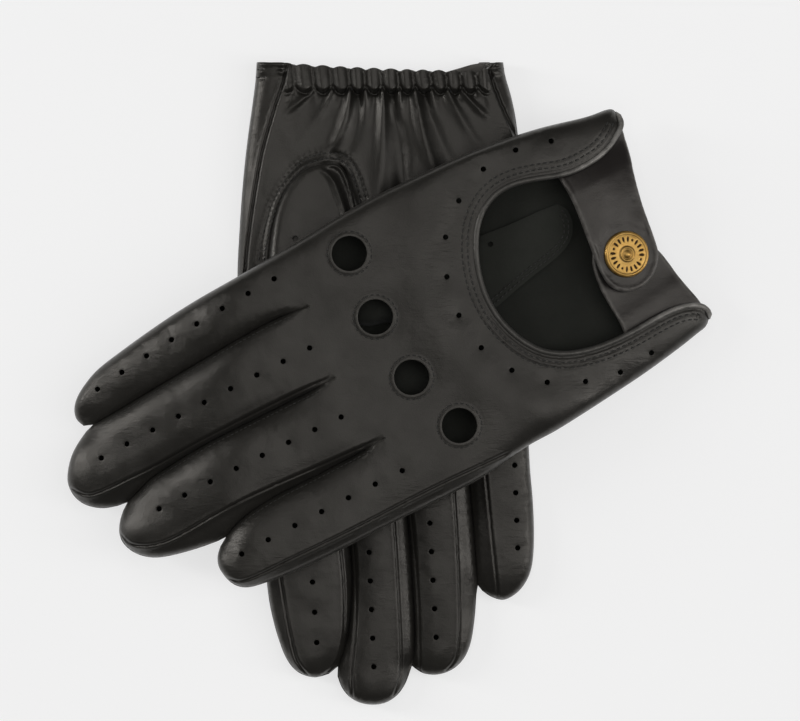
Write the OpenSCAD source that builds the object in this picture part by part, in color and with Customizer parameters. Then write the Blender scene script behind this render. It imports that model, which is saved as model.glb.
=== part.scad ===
// A pair of leather driving gloves laid one across the other: the right glove
// lies palm up, and the left glove lies over it, back up, at an angle.
// Each glove is drawn in a hand frame: x towards the index side, y towards the
// fingertips, z out of the back of the hand. The cuff ends at y = 0.

/* [Hand] */
// Half thickness of the empty glove
half_thick = 5.5; // [5:0.1:5.7]
// Leather thickness
leather = 0.9; // [0.7:0.1:1.2]
// Where the fingers start, measured from the cuff
crotch_y = 118; // [112:1:122]
// Diameter of the knuckle holes
knuckle_d = 12; // [8:0.5:13]

/* [Back opening] */
// Radius of the round end of the back opening
opening_r = 31; // [26:0.5:33]
// Distance of its centre from the cuff
opening_y = 34.7; // [30:0.1:40]
// Width of the bound edge
binding_w = 1.6; // [1:0.1:2.5]

/* [Strap and snap] */
// Width of the strap
strap_w = 25; // [18:0.5:28]
// Diameter of the snap's cap
snap_d = 15.9; // [12:0.1:18]
// Distance of the snap from the cuff's edge
snap_y = 18; // [14:0.5:19]

/* [Lay] */
// Angle between the two gloves
cross_angle = 65; // [55:1:75]
// Height of the left glove's middle over the surface
left_lift = 25; // [24.6:0.1:30]
// Slope of the left glove's cuff and fingers down to the surface
drape_slope = 0.28; // [0.15:0.01:0.29]

/* [Hidden] */

leather_dark = [0.16, 0.155, 0.145];
leather_soft = [0.22, 0.21, 0.20];
lining_grey = [0.28, 0.27, 0.26];
brass = [0.60, 0.46, 0.24];
band_grey = [0.10, 0.10, 0.10];

LEFT = 0;
RIGHT = 1;
INDEX = 0;
MIDDLE = 1;
RING = 2;
LITTLE = 3;

// Where each hand frame's origin lies on the surface, about the middle of the lay
left_origin = [93.5, 57.9];
right_origin = [-2.6, 110];

// Flat of the leather where the glove lies flat, from its middle plane
flat_z = half_thick - 0.1;
// Sections of a glove are superellipses of these powers
hand_power = 0.6;
finger_power = 0.72;
// Angle from the side at which the back and palm leather meet the side leather
side_angle = 20;
// Angle left open along each seam
seam_angle = 1;
// Angle at which the back leather of a finger's root ends, clear of the palm leather
root_angle = 25;

// Fingers: [x at the crotch, x at the tip, y of the tip, half width, bend power]
fingers = [
    [[33.4, 24.6, 211, 10, 1.6], [9.9, 2.6, 223, 11.8, 1.6],
     [-16.6, -23, 214.5, 12.2, 1.6], [-43, -47.5, 187, 12.9, 1.6]],
    [[32, 23.5, 210.5, 11, 1], [8.4, 2, 220, 10.6, 1],
     [-15.6, -20.5, 209, 11.2, 1], [-40, -43, 184, 10.8, 1]]];
// Taper of a finger from its root to its tip
finger_taper = 0.08;
// Clear gap at a finger's joint
joint_gap = 0.4;
// Where each right finger bends, past the edge of the glove that lies over it
bend_y = [184, 167, 157, 142];

// Hand outline: [y, middle x, half width]
hand_outline = [
    [0, -0.5, 40.5], [12, -0.7, 43], [25, -0.9, 45.6], [38, -1.1, 47.3],
    [50, -1.4, 48.6], [75, -2.4, 50], [100, -4.3, 50.7], [crotch_y, -5.8, 49.8]];

knuckles = [[33.1, 102], [9.8, 103.1], [-14, 100.6], [-35.7, 92.8]];

// Thumbs, folded on the palm: [y of the base arc, y of the tip, half width]
thumbs = [[32, 98, 16], [32, 122, 16.5]];
thumb_x = 22;
thumb_hole_y = 54;
thumb_hole_r = 11;
thumb_half_thick = 3.7;
thumb_z = -flat_z - thumb_half_thick - 0.15;

// Heights in the strap's stack, from the middle plane
snap_x = -6.2;
strap_root_x = 29.8;
strap_tip_x = -20;
strap_drop = [0, 2.9];
tab_z = 4.7;
tab_t = 1;
lining_t = 0.8;
under_tab_z = 0.6;
cap_h = 2.2;
stud_r = 2.7;
stud_h = 2;
barrel_r = 1.5;
socket_r = 3.2;
flange_r = 5;

// ---- Lay ------------------------------------------------------------------

function frame_angle(side) = side == LEFT ? 270 - cross_angle : 270;
function frame_origin(side) = side == LEFT ? left_origin : right_origin;

// A hand-frame point's place on the surface
function lay_xy(side, x, y) =
    let (a = frame_angle(side), o = frame_origin(side))
    [o[0] + x * sin(a) + y * cos(a), o[1] - x * cos(a) + y * sin(a)];

// Drop of a draped sheet a distance d past where it starts to fall
drape_round = 16;
function drop(d) =
    d <= 0 ? 0
    : d < drape_round ? drape_slope * d * d / (2 * drape_round)
    : drape_slope * (d - drape_round / 2);

// Height of a glove's middle plane at a place on the surface
fall_from = [-46, 44];
function lay_lift(side, p) =
    side == RIGHT ? flat_z
    : left_lift - drop(p[0] - fall_from[1]) - drop(fall_from[0] - p[0]);

// A hand-frame point in the row's frame
function lay(side, v) =
    let (p = lay_xy(side, v[0], v[1]))
    [p[0], p[1], lay_lift(side, p) + (side == LEFT ? v[2] : -v[2])];

// Stiff pieces are turned as one, by the slope at their own place
module lay_rigid(side, x, y) {
    at = lay_xy(side, x, y);
    slope = side == LEFT && at[0] > fall_from[1] + drape_round ? atan(drape_slope) : 0;
    translate([at[0], at[1], lay_lift(side, at)])
        rotate([0, slope, 0])
            rotate([0, 0, frame_angle(side) - 90])
                mirror([0, 0, side == RIGHT ? 1 : 0])
                    translate([-x, -y, 0])
                        children();
}

// ---- Sheets ---------------------------------------------------------------

function signed_pow(v, e) = sign(v) * pow(abs(v), e);

// A point on a glove's section, flattened where it lies flat
function section(c, w, h, a, e, z0) =
    [c + w * signed_pow(cos(a), e), z0 + max(min(h * signed_pow(sin(a), e), h - 0.1), 0.1 - h)];

// One row of points of a station [y, middle x, half width, half thickness, z]
function station_row(side, s, angles, e, inset) =
    let (w = max(s[2] - inset, 0.4 * s[2]), h = max(s[3] - inset, 0.4 * s[3]))
    [for (a = angles) let (q = section(s[1], w, h, a, e, s[4])) lay(side, [q[0], s[0], q[1]])];

// A closed sheet between an outer and an inner grid of points
module sheet(outer, inner) {
    rows = len(outer);
    cols = len(outer[0]);
    n = rows * cols;
    points = concat([for (r = outer) each r], [for (r = inner) each r]);
    faces = concat(
        [for (i = [0:rows - 2], j = [0:cols - 2]) let (a = i * cols + j)
            each [[a, a + 1, a + cols], [a + 1, a + cols + 1, a + cols]]],
        [for (i = [0:rows - 2], j = [0:cols - 2]) let (a = n + i * cols + j)
            each [[a, a + cols, a + 1], [a + 1, a + cols, a + cols + 1]]],
        [for (i = [0:rows - 2]) let (a = i * cols, b = n + a)
            each [[a, a + cols, b + cols], [a, b + cols, b]]],
        [for (i = [0:rows - 2]) let (a = i * cols + cols - 1, b = n + a)
            each [[a, b + cols, a + cols], [a, b, b + cols]]],
        [for (j = [0:cols - 2]) let (a = j, b = n + j) each [[a, b, a + 1], [a + 1, b, b + 1]]],
        [for (j = [0:cols - 2]) let (a = (rows - 1) * cols + j, b = n + a)
            each [[a, a + 1, b], [a + 1, b + 1, b]]]);
    polyhedron(points, faces, convexity = 4);
}

// The leather of a run of stations over an arc of the section
module shell(side, stations, from, to, steps, e) {
    angles = [for (k = [0:steps]) from + (to - from) * k / steps];
    outer = [for (s = stations) station_row(side, s, angles, e, 0)];
    inner = [for (s = stations) station_row(side, s, angles, e, leather)];
    // The right glove is mirrored, so its grids are read the other way round
    if (side == LEFT) sheet(outer, inner);
    else sheet([for (r = outer) [for (k = [steps:-1:0]) r[k]]],
               [for (r = inner) [for (k = [steps:-1:0]) r[k]]]);
}

// A four-cornered patch of leather between two heights, following the lay
module patch(side, x0, x1, y0, y1, z0, z1, steps = 1) {
    xs = [for (k = [0:steps]) x1 + (x0 - x1) * k / steps];
    top = [for (y = [y0, y1]) [for (x = xs) lay(side, [x, y, z1])]];
    low = [for (y = [y0, y1]) [for (x = xs) lay(side, [x, y, z0])]];
    if (side == LEFT) sheet(top, low);
    else sheet([for (r = top) [for (k = [steps:-1:0]) r[k]]],
               [for (r = low) [for (k = [steps:-1:0]) r[k]]]);
}

// ---- Hands ----------------------------------------------------------------

hand_stations = [for (s = hand_outline) [s[0], s[1], s[2], half_thick, 0]];

// Height of the hand leather's inner face over the middle plane
hand_middle = [for (s = hand_outline) [s[0], s[1]]];
hand_half_width = [for (s = hand_outline) [s[0], s[2]]];
function inner_z(x, y) =
    let (across = (abs(x - lookup(y, hand_middle))) / (lookup(y, hand_half_width) - leather),
         c = pow(min(across, 1), 1 / hand_power))
    (half_thick - leather) * pow(1 - c * c, hand_power / 2);

function finger_x(f, y) =
    f[0] + (f[1] - f[0]) * pow(max((y - crotch_y) / (f[2] - crotch_y), 0), f[4]);

// Stations of a finger from y0 to y1; past the start of its tip it rounds off
tip_steps = 5;
function finger_width(f, y) = f[3] * (1 - finger_taper * (y - crotch_y) / (f[2] - crotch_y));
function finger_body(f, y0, y1, count) =
    [for (k = [0:count]) let (y = y0 + (y1 - y0) * k / count)
        [y, finger_x(f, y), finger_width(f, y), half_thick, 0]];
function finger_tip(f) =
    let (r = f[3])
    [for (k = [1:tip_steps]) let (a = 88 * k / tip_steps, y = f[2] - r + r * sin(a))
        [y, finger_x(f, y), finger_width(f, y) * cos(a), half_thick * pow(cos(a), 0.6), 0]];
function moving_finger(f, from_y) =
    concat(finger_body(f, from_y, f[2] - f[3], 5), finger_tip(f));
function finger_start(side, which) = side == LEFT ? crotch_y + joint_gap : bend_y[which] + joint_gap;

// The part of each right finger that stays with the hand, under the left glove
function root_stations(which) = finger_body(fingers[RIGHT][which], crotch_y - 1.5, bend_y[which], 4);

// A cutter through the leather, over a path that bulges round its middle
module lay_cutter(side, path, middle, z0, z1) {
    n = len(path);
    points = concat([for (p = path) lay(side, [p[0], p[1], z0])],
                    [for (p = path) lay(side, [p[0], p[1], z1])],
                    [lay(side, [middle[0], middle[1], z0]), lay(side, [middle[0], middle[1], z1])]);
    up = [for (i = [0:n - 1]) let (j = (i + 1) % n) each [
        [i, i + n, j + n], [i, j + n, j], [2 * n, i, j], [2 * n + 1, j + n, i + n]]];
    polyhedron(points, side == LEFT ? up : [for (f = up) [f[2], f[1], f[0]]], convexity = 4);
}

// A bound edge round the opening, a strip of leather folded over the cut
binding_steps = 16;
opening_x = -0.5;
function opening_path(r, y0) = concat(
    [[opening_x + r, y0]],
    [for (k = [0:binding_steps]) let (a = 180 * k / binding_steps)
        [opening_x + r * cos(a), opening_y + r * sin(a)]],
    [[opening_x - r, y0]]);

module back_panel(side) {
    difference() {
        union() {
            shell(side, hand_stations, side_angle, 180 - side_angle, 14, hand_power);
            if (side == RIGHT)
                for (k = [INDEX:LITTLE])
                    shell(side, root_stations(k), root_angle, 180 - root_angle, 6, finger_power);
        }
        lay_cutter(side, opening_path(opening_r + binding_w + joint_gap, -12),
                   [opening_x, opening_y], 0.5, 14);
        for (p = knuckles)
            lay_rigid(side, p[0], p[1])
                translate([p[0], p[1], 1])
                    cylinder(d = knuckle_d, h = 10, $fn = 48);
    }
}

// The way from the hand into its thumb
module thumb_hole(side, z0, z1) {
    lay_rigid(side, thumb_x, thumb_hole_y)
        translate([thumb_x, thumb_hole_y, z0])
            cylinder(r = thumb_hole_r, h = z1 - z0, $fn = 64);
}

module palm_panel(side) {
    difference() {
        union() {
            shell(side, hand_stations, 180 - side_angle + seam_angle,
                  360 + side_angle - seam_angle, 20, hand_power);
            if (side == RIGHT)
                for (k = [INDEX:LITTLE])
                    shell(side, root_stations(k), 180 + side_angle, 360 - side_angle, 6, finger_power);
        }
        thumb_hole(side, -12, 0);
    }
}

module fourchettes(side, stations) {
    half = side_angle - seam_angle;
    for (a = [0, 180])
        shell(side, stations, a - half, a + half, 2, finger_power);
}

module fourchette_roots(side) {
    for (k = [INDEX:LITTLE])
        fourchettes(side, finger_body(fingers[side][k], crotch_y + 0.1, bend_y[k], 4));
}

module opening_binding(side) {
    z1 = flat_z - 0.1;
    z0 = z1 - 1.3;
    outer_drop = 0.3;
    outer_path = opening_path(opening_r + binding_w, 1);
    inner_path = opening_path(opening_r, 1);
    top = [[for (p = outer_path) lay(side, [p[0], p[1], z1 - outer_drop])],
           [for (p = inner_path) lay(side, [p[0], p[1], z1])]];
    low = [[for (p = outer_path) lay(side, [p[0], p[1], z0 - outer_drop])],
           [for (p = inner_path) lay(side, [p[0], p[1], z0])]];
    if (side == LEFT) sheet(top, low);
    else sheet([top[1], top[0]], [low[1], low[0]]);
}

// Rings of leather that back the knuckle holes
facing_t = 0.5;
facing_gap = 0.35;
module knuckle_facings(side) {
    facing_r = knuckle_d / 2 + 1.7;
    for (p = knuckles) {
        out = p[0] + sign(p[0]) * facing_r;
        lay_rigid(side, p[0], p[1])
            translate([p[0], p[1], min(inner_z(out, p[1]), flat_z - leather) - facing_gap - facing_t])
                difference() {
                    cylinder(r = facing_r, h = facing_t, $fn = 48);
                    translate([0, 0, -1]) cylinder(d = knuckle_d + 0.4, h = 3, $fn = 48);
                }
    }
}

// Elastic tape sewn inside the palm, which gathers the wrist
module elastic_band(side) {
    half = 29;
    z0 = facing_gap - inner_z(half, 7);
    patch(side, -half, half, 7, 13, z0, z0 + 0.6);
}

// The turned hem of the palm's wrist edge
module cuff_hem(side) {
    half = 31;
    z0 = facing_gap - inner_z(half, 0.2);
    patch(side, -half, half, 0.2, 5.5, z0, z0 + 0.8);
}

// ---- Thumbs ---------------------------------------------------------------

// The thumb's half width grows over its base arc and tapers to the tip
thumb_arc = 20;
function thumb_stations(t) = concat(
    [for (a = [8:27:89]) let (y = t[0] + thumb_arc * (1 - cos(a)))
        [y, thumb_x, t[2] * sin(a), thumb_half_thick * pow(sin(a), 0.5), thumb_z]],
    [for (k = [1:3]) let (y = t[0] + thumb_arc + (t[1] - t[0] - thumb_arc - 12) * k / 3)
        [y, thumb_x, t[2] - 1.4 * k, thumb_half_thick, thumb_z]],
    [for (a = [24:21:87])
        [t[1] - 12 + 12 * sin(a), thumb_x, (t[2] - 4.2) * cos(a),
         thumb_half_thick * pow(cos(a), 0.5), thumb_z]]);

module thumb_outer(side) {
    shell(side, thumb_stations(thumbs[side]), 180, 360, 10, finger_power);
}
module thumb_inner(side) {
    difference() {
        shell(side, thumb_stations(thumbs[side]), 0, 180, 10, finger_power);
        thumb_hole(side, thumb_z + 0.3, 0);
    }
}

// ---- Strap and snap -------------------------------------------------------

module strap_shape(inset = 0) {
    y0 = snap_y - strap_w / 2;
    end_r = 10;
    offset(r = -inset)
        hull() {
            translate([strap_root_x - 1, y0]) square([1, strap_w]);
            translate([strap_tip_x + end_r, y0 + end_r]) circle(r = end_r, $fn = 32);
            translate([strap_tip_x + end_r, y0 + strap_w - end_r]) circle(r = end_r, $fn = 32);
        }
}

module strap_frame(side) {
    lay_rigid(side, snap_x, snap_y)
        translate([0, 0, -strap_drop[side]])
            children();
}

module strap_tab(side) {
    strap_frame(side)
        difference() {
            translate([0, 0, tab_z]) linear_extrude(tab_t) strap_shape();
            translate([snap_x, snap_y, 0]) cylinder(r = barrel_r + 0.1, h = 12, $fn = 32);
        }
}

module strap_lining(side) {
    strap_frame(side)
        difference() {
            translate([0, 0, tab_z - lining_t])
                linear_extrude(lining_t - 0.02) strap_shape(0.6);
            translate([snap_x, snap_y, 0]) cylinder(r = barrel_r + 0.1, h = 12, $fn = 32);
        }
}

// The hidden end of the strap, sewn under the thumb-side edge of the opening
module strap_anchor(side) {
    y0 = snap_y - strap_w / 2;
    strap_frame(side)
        translate([strap_root_x - 0.8, y0 + 1, tab_z - lining_t - 2.2])
            cube([6, strap_w - 2, 1]);
}

// The tab on the far side of the opening that carries the stud
module under_tab(side) {
    y0 = snap_y - strap_w / 2;
    strap_frame(side)
        difference() {
            translate([-37, y0, under_tab_z])
                linear_extrude(1)
                    hull() {
                        square([1, strap_w]);
                        translate([37 + snap_x + 2, strap_w / 2]) circle(d = 19, $fn = 32);
                    }
            translate([snap_x, snap_y, -5]) cylinder(r = barrel_r + 0.1, h = 12, $fn = 32);
        }
}

module snap_stud(side) {
    strap_frame(side)
        translate([snap_x, snap_y, under_tab_z + 1])
            rotate_extrude($fn = 48)
                polygon([[0, 0], [flange_r, 0], [flange_r, 0.4], [2.3, 0.5], [2.3, 0.9],
                         [stud_r, 1.3], [stud_r - 0.2, 1.7], [1.8, stud_h], [0, stud_h]]);
}

module snap_rivet(side) {
    strap_frame(side)
        translate([snap_x, snap_y, under_tab_z - 0.7])
            rotate_extrude($fn = 48)
                polygon([[0, 0.1], [flange_r - 0.4, 0.1], [flange_r, 0.4], [flange_r, 0.68],
                         [barrel_r, 0.68], [barrel_r, 1.68], [0, 1.68]]);
}

module snap_socket(side) {
    h = tab_z - lining_t - under_tab_z - 1 - 0.7;
    strap_frame(side)
        translate([snap_x, snap_y, under_tab_z + 1 + 0.7])
            rotate_extrude($fn = 48)
                polygon([[socket_r, 0], [flange_r - 0.3, 0], [flange_r, 0.4],
                         [flange_r, h - 0.02], [socket_r, h - 0.02]]);
}

// A domed cap with a raised rim, a ring groove and a centre boss
module snap_cap(side) {
    r = snap_d / 2;
    strap_frame(side)
        translate([snap_x, snap_y, tab_z + tab_t + 0.02])
            rotate_extrude($fn = 96)
                polygon([[0, -tab_t - lining_t], [barrel_r, -tab_t - lining_t], [barrel_r, 0],
                         [r - 0.6, 0], [r, 0.5], [r, 1.1], [r - 0.5, 1.7], [r - 1.1, 1.8],
                         [r - 1.6, 1.5], [r - 3.6, 1.7], [r - 4.1, cap_h - 0.1],
                         [r - 4.5, 1.7], [2.2, 1.8], [1.7, cap_h], [0, cap_h]]);
}

// ---- One module per piece of a moving finger --------------------------------

function moving(side, which) = moving_finger(fingers[side][which], finger_start(side, which));
module finger_back(side, which) {
    shell(side, moving(side, which), side_angle, 180 - side_angle, 8, finger_power);
}
module finger_front(side, which) {
    shell(side, moving(side, which), 180 + side_angle, 360 - side_angle, 8, finger_power);
}
module finger_fourchettes(side, which) {
    fourchettes(side, moving(side, which));
}

module hand_piece(side, name) {
    if (name == "back_panel") color(leather_dark) back_panel(side);
    if (name == "palm_panel") color(leather_soft) palm_panel(side);
    if (name == "opening_binding") color(lining_grey) opening_binding(side);
    if (name == "knuckle_facings") color(lining_grey) knuckle_facings(side);
    if (name == "elastic_band") color(band_grey) elastic_band(side);
    if (name == "cuff_hem") color(leather_soft) cuff_hem(side);
    if (name == "thumb_outer") color(leather_dark) thumb_outer(side);
    if (name == "thumb_inner") color(leather_soft) thumb_inner(side);
    if (name == "strap_anchor") color(leather_soft) strap_anchor(side);
    if (name == "under_tab") color(leather_dark) under_tab(side);
    if (name == "snap_stud") color(brass) snap_stud(side);
    if (name == "snap_rivet") color(brass) snap_rivet(side);
    if (name == "fourchette_roots") color(leather_soft) fourchette_roots(side);
    if (name == "strap_tab") color(leather_dark) strap_tab(side);
    if (name == "strap_lining") color(lining_grey) strap_lining(side);
    if (name == "snap_cap") color(brass) snap_cap(side);
    if (name == "snap_socket") color(brass) snap_socket(side);
}

module left_back_panel() { hand_piece(LEFT, "back_panel"); }
module left_palm_panel() { hand_piece(LEFT, "palm_panel"); }
module left_opening_binding() { hand_piece(LEFT, "opening_binding"); }
module left_knuckle_facings() { hand_piece(LEFT, "knuckle_facings"); }
module left_elastic_band() { hand_piece(LEFT, "elastic_band"); }
module left_cuff_hem() { hand_piece(LEFT, "cuff_hem"); }
module left_thumb_outer() { hand_piece(LEFT, "thumb_outer"); }
module left_thumb_inner() { hand_piece(LEFT, "thumb_inner"); }
module left_strap_anchor() { hand_piece(LEFT, "strap_anchor"); }
module left_under_tab() { hand_piece(LEFT, "under_tab"); }
module left_snap_stud() { hand_piece(LEFT, "snap_stud"); }
module left_snap_rivet() { hand_piece(LEFT, "snap_rivet"); }
module left_strap_tab() { hand_piece(LEFT, "strap_tab"); }
module left_strap_lining() { hand_piece(LEFT, "strap_lining"); }
module left_snap_cap() { hand_piece(LEFT, "snap_cap"); }
module left_snap_socket() { hand_piece(LEFT, "snap_socket"); }
module left_index_back() { color(leather_dark) finger_back(LEFT, INDEX); }
module left_index_front() { color(leather_soft) finger_front(LEFT, INDEX); }
module left_index_fourchettes() { color(leather_soft) finger_fourchettes(LEFT, INDEX); }
module left_middle_back() { color(leather_dark) finger_back(LEFT, MIDDLE); }
module left_middle_front() { color(leather_soft) finger_front(LEFT, MIDDLE); }
module left_middle_fourchettes() { color(leather_soft) finger_fourchettes(LEFT, MIDDLE); }
module left_ring_back() { color(leather_dark) finger_back(LEFT, RING); }
module left_ring_front() { color(leather_soft) finger_front(LEFT, RING); }
module left_ring_fourchettes() { color(leather_soft) finger_fourchettes(LEFT, RING); }
module left_little_back() { color(leather_dark) finger_back(LEFT, LITTLE); }
module left_little_front() { color(leather_soft) finger_front(LEFT, LITTLE); }
module left_little_fourchettes() { color(leather_soft) finger_fourchettes(LEFT, LITTLE); }
module right_back_panel() { hand_piece(RIGHT, "back_panel"); }
module right_palm_panel() { hand_piece(RIGHT, "palm_panel"); }
module right_opening_binding() { hand_piece(RIGHT, "opening_binding"); }
module right_knuckle_facings() { hand_piece(RIGHT, "knuckle_facings"); }
module right_elastic_band() { hand_piece(RIGHT, "elastic_band"); }
module right_cuff_hem() { hand_piece(RIGHT, "cuff_hem"); }
module right_thumb_outer() { hand_piece(RIGHT, "thumb_outer"); }
module right_thumb_inner() { hand_piece(RIGHT, "thumb_inner"); }
module right_strap_anchor() { hand_piece(RIGHT, "strap_anchor"); }
module right_under_tab() { hand_piece(RIGHT, "under_tab"); }
module right_snap_stud() { hand_piece(RIGHT, "snap_stud"); }
module right_snap_rivet() { hand_piece(RIGHT, "snap_rivet"); }
module right_fourchette_roots() { hand_piece(RIGHT, "fourchette_roots"); }
module right_strap_tab() { hand_piece(RIGHT, "strap_tab"); }
module right_strap_lining() { hand_piece(RIGHT, "strap_lining"); }
module right_snap_cap() { hand_piece(RIGHT, "snap_cap"); }
module right_snap_socket() { hand_piece(RIGHT, "snap_socket"); }
module right_index_back() { color(leather_dark) finger_back(RIGHT, INDEX); }
module right_index_front() { color(leather_soft) finger_front(RIGHT, INDEX); }
module right_index_fourchettes() { color(leather_soft) finger_fourchettes(RIGHT, INDEX); }
module right_middle_back() { color(leather_dark) finger_back(RIGHT, MIDDLE); }
module right_middle_front() { color(leather_soft) finger_front(RIGHT, MIDDLE); }
module right_middle_fourchettes() { color(leather_soft) finger_fourchettes(RIGHT, MIDDLE); }
module right_ring_back() { color(leather_dark) finger_back(RIGHT, RING); }
module right_ring_front() { color(leather_soft) finger_front(RIGHT, RING); }
module right_ring_fourchettes() { color(leather_soft) finger_fourchettes(RIGHT, RING); }
module right_little_back() { color(leather_dark) finger_back(RIGHT, LITTLE); }
module right_little_front() { color(leather_soft) finger_front(RIGHT, LITTLE); }
module right_little_fourchettes() { color(leather_soft) finger_fourchettes(RIGHT, LITTLE); }

left_back_panel();
left_palm_panel();
left_opening_binding();
left_knuckle_facings();
left_elastic_band();
left_cuff_hem();
left_thumb_outer();
left_thumb_inner();
left_strap_anchor();
left_under_tab();
left_snap_stud();
left_snap_rivet();
left_strap_tab();
left_strap_lining();
left_snap_cap();
left_snap_socket();
left_index_back();
left_index_front();
left_index_fourchettes();
left_middle_back();
left_middle_front();
left_middle_fourchettes();
left_ring_back();
left_ring_front();
left_ring_fourchettes();
left_little_back();
left_little_front();
left_little_fourchettes();
right_back_panel();
right_palm_panel();
right_opening_binding();
right_knuckle_facings();
right_elastic_band();
right_cuff_hem();
right_thumb_outer();
right_thumb_inner();
right_strap_anchor();
right_under_tab();
right_snap_stud();
right_snap_rivet();
right_fourchette_roots();
right_strap_tab();
right_strap_lining();
right_snap_cap();
right_snap_socket();
right_index_back();
right_index_front();
right_index_fourchettes();
right_middle_back();
right_middle_front();
right_middle_fourchettes();
right_ring_back();
right_ring_front();
right_ring_fourchettes();
right_little_back();
right_little_front();
right_little_fourchettes();
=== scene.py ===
"""Looks of a pair of leather driving gloves, laid one across the other.

Each glove is drawn in a hand frame, in millimetres: x towards the index side, y towards
the fingertips, z up out of the surface it lies on. The left glove lies back up over the
right glove, which lies palm up. Leather panels are fine triangulated sheets over the
glove's outline, raised by a soft inflation, with their grooves, folds and cut holes.
"""
import math

import bpy
import numpy as np
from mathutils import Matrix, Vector, noise
from mathutils.geometry import delaunay_2d_cdt
from mathutils.kdtree import KDTree


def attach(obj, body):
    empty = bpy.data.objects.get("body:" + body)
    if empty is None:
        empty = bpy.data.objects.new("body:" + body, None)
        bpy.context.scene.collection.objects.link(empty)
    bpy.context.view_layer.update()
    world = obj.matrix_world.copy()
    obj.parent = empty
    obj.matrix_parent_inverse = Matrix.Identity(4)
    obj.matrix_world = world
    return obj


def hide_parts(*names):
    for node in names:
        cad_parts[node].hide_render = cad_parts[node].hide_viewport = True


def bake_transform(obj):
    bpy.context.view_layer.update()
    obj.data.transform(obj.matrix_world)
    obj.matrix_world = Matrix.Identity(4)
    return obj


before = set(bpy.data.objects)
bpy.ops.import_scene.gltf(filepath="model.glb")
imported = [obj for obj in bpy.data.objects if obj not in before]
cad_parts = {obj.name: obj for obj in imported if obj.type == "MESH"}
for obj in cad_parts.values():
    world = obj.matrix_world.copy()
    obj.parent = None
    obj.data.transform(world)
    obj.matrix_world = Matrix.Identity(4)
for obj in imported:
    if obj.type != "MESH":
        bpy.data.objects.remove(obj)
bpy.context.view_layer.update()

MM = 0.001
NAMES = ("index", "middle", "ring", "little")

# ---- Driving dimensions, in millimetres -------------------------------------

LEATHER = 0.9
HALF = 5.4                      # half thickness of an empty glove
ROUNDING = 4.6                  # how fast a glove's edge rounds up to its flat
EDGE_ROWS = (0.12, 0.42, 0.95, 1.7, 2.7)
KNUCKLE_R = 6.0
KNUCKLE_SIDES = 40
HOLE_R = 0.95                   # perforations
HOLE_SIDES = 12
TOPSTITCH = (2.9, 4.8)          # two rows of stitches, measured from the opening's edge
FACING_WIDTH = 2.8              # leather ring behind each knuckle hole
LEFT_LIFT = 25.0                # height of the left glove's middle plane
FALL_FROM = (-46.0, 44.0)       # where the left glove starts to fall, to both sides
FALL_SLOPE = 0.28
FALL_ROUND = 16.0
SNAP = (-6.2, 18.0)
SNAP_DROPS = {"left": 0.0, "right": 2.9}   # how far each snap is pushed into its glove
CROTCH_SPLIT = 125.5            # the left fingers' leather is cut from the hand's here,
CROTCH_BLEND = 141.0            # and the finger span given with it ends here
FINE, COARSE = 1.3, 2.2         # triangle sizes of the leather that is seen and hidden

# ---- Small helpers ------------------------------------------------------------


def smooth(a, b, x):
    """0 below a, 1 above b, smooth between."""
    t = np.clip((np.asarray(x, float) - a) / (b - a), 0, 1)
    return t * t * (3 - 2 * t)


def bump(x, width):
    """1 at zero, falling away over width."""
    return np.exp(-(np.asarray(x, float) / width) ** 2)


def spline(points, step=0.9, closed=False):
    """A Catmull-Rom curve through the points, sampled about every step."""
    p = np.array(points, float)
    n = len(p)
    spans = n if closed else n - 1
    out = []
    for i in range(spans):
        if closed:
            a, b, c, d = p[(i - 1) % n], p[i], p[(i + 1) % n], p[(i + 2) % n]
        else:
            a, b, c, d = p[max(i - 1, 0)], p[i], p[i + 1], p[min(i + 2, n - 1)]
        count = max(1, int(round(np.linalg.norm(c - b) / step)))
        for k in range(count):
            t = k / count
            out.append(0.5 * (2 * b + (c - a) * t + (2 * a - 5 * b + 4 * c - d) * t * t
                              + (3 * b - a - 3 * c + d) * t ** 3))
    if not closed:
        out.append(p[-1])
    return np.array(out)


def ring(center, radius, count):
    """A circle of that many points."""
    a = np.arange(count) * 2 * math.pi / count
    return np.stack([center[0] + radius * np.cos(a), center[1] + radius * np.sin(a)], 1)


def along(path, pitch, start=0.0):
    """Points every pitch along a polyline, with their unit directions."""
    seg = np.diff(path, axis=0)
    length = np.linalg.norm(seg, axis=1)
    at = np.concatenate([[0], np.cumsum(length)])
    s = np.arange(start, at[-1], pitch)
    x = np.stack([np.interp(s, at, path[:, k]) for k in range(path.shape[1])], 1)
    i = np.clip(np.searchsorted(at, s, "right") - 1, 0, len(seg) - 1)
    return x, seg[i] / np.maximum(length[i], 1e-9)[:, None]


def distance(points, path, closed=False):
    """Distance from each point to a polyline."""
    a = np.array(path, float)
    b = np.roll(a, -1, 0) if closed else a[1:]
    a = a if closed else a[:-1]
    best = np.full(len(points), 1e9)
    for i in range(0, len(points), 4000):
        p = points[i:i + 4000, None, :]
        ab = (b - a)[None]
        t = np.clip(((p - a[None]) * ab).sum(2) / np.maximum((ab * ab).sum(2), 1e-12), 0, 1)
        q = a[None] + t[..., None] * ab - p
        best[i:i + 4000] = np.sqrt((q * q).sum(2).min(1))
    return best


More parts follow.
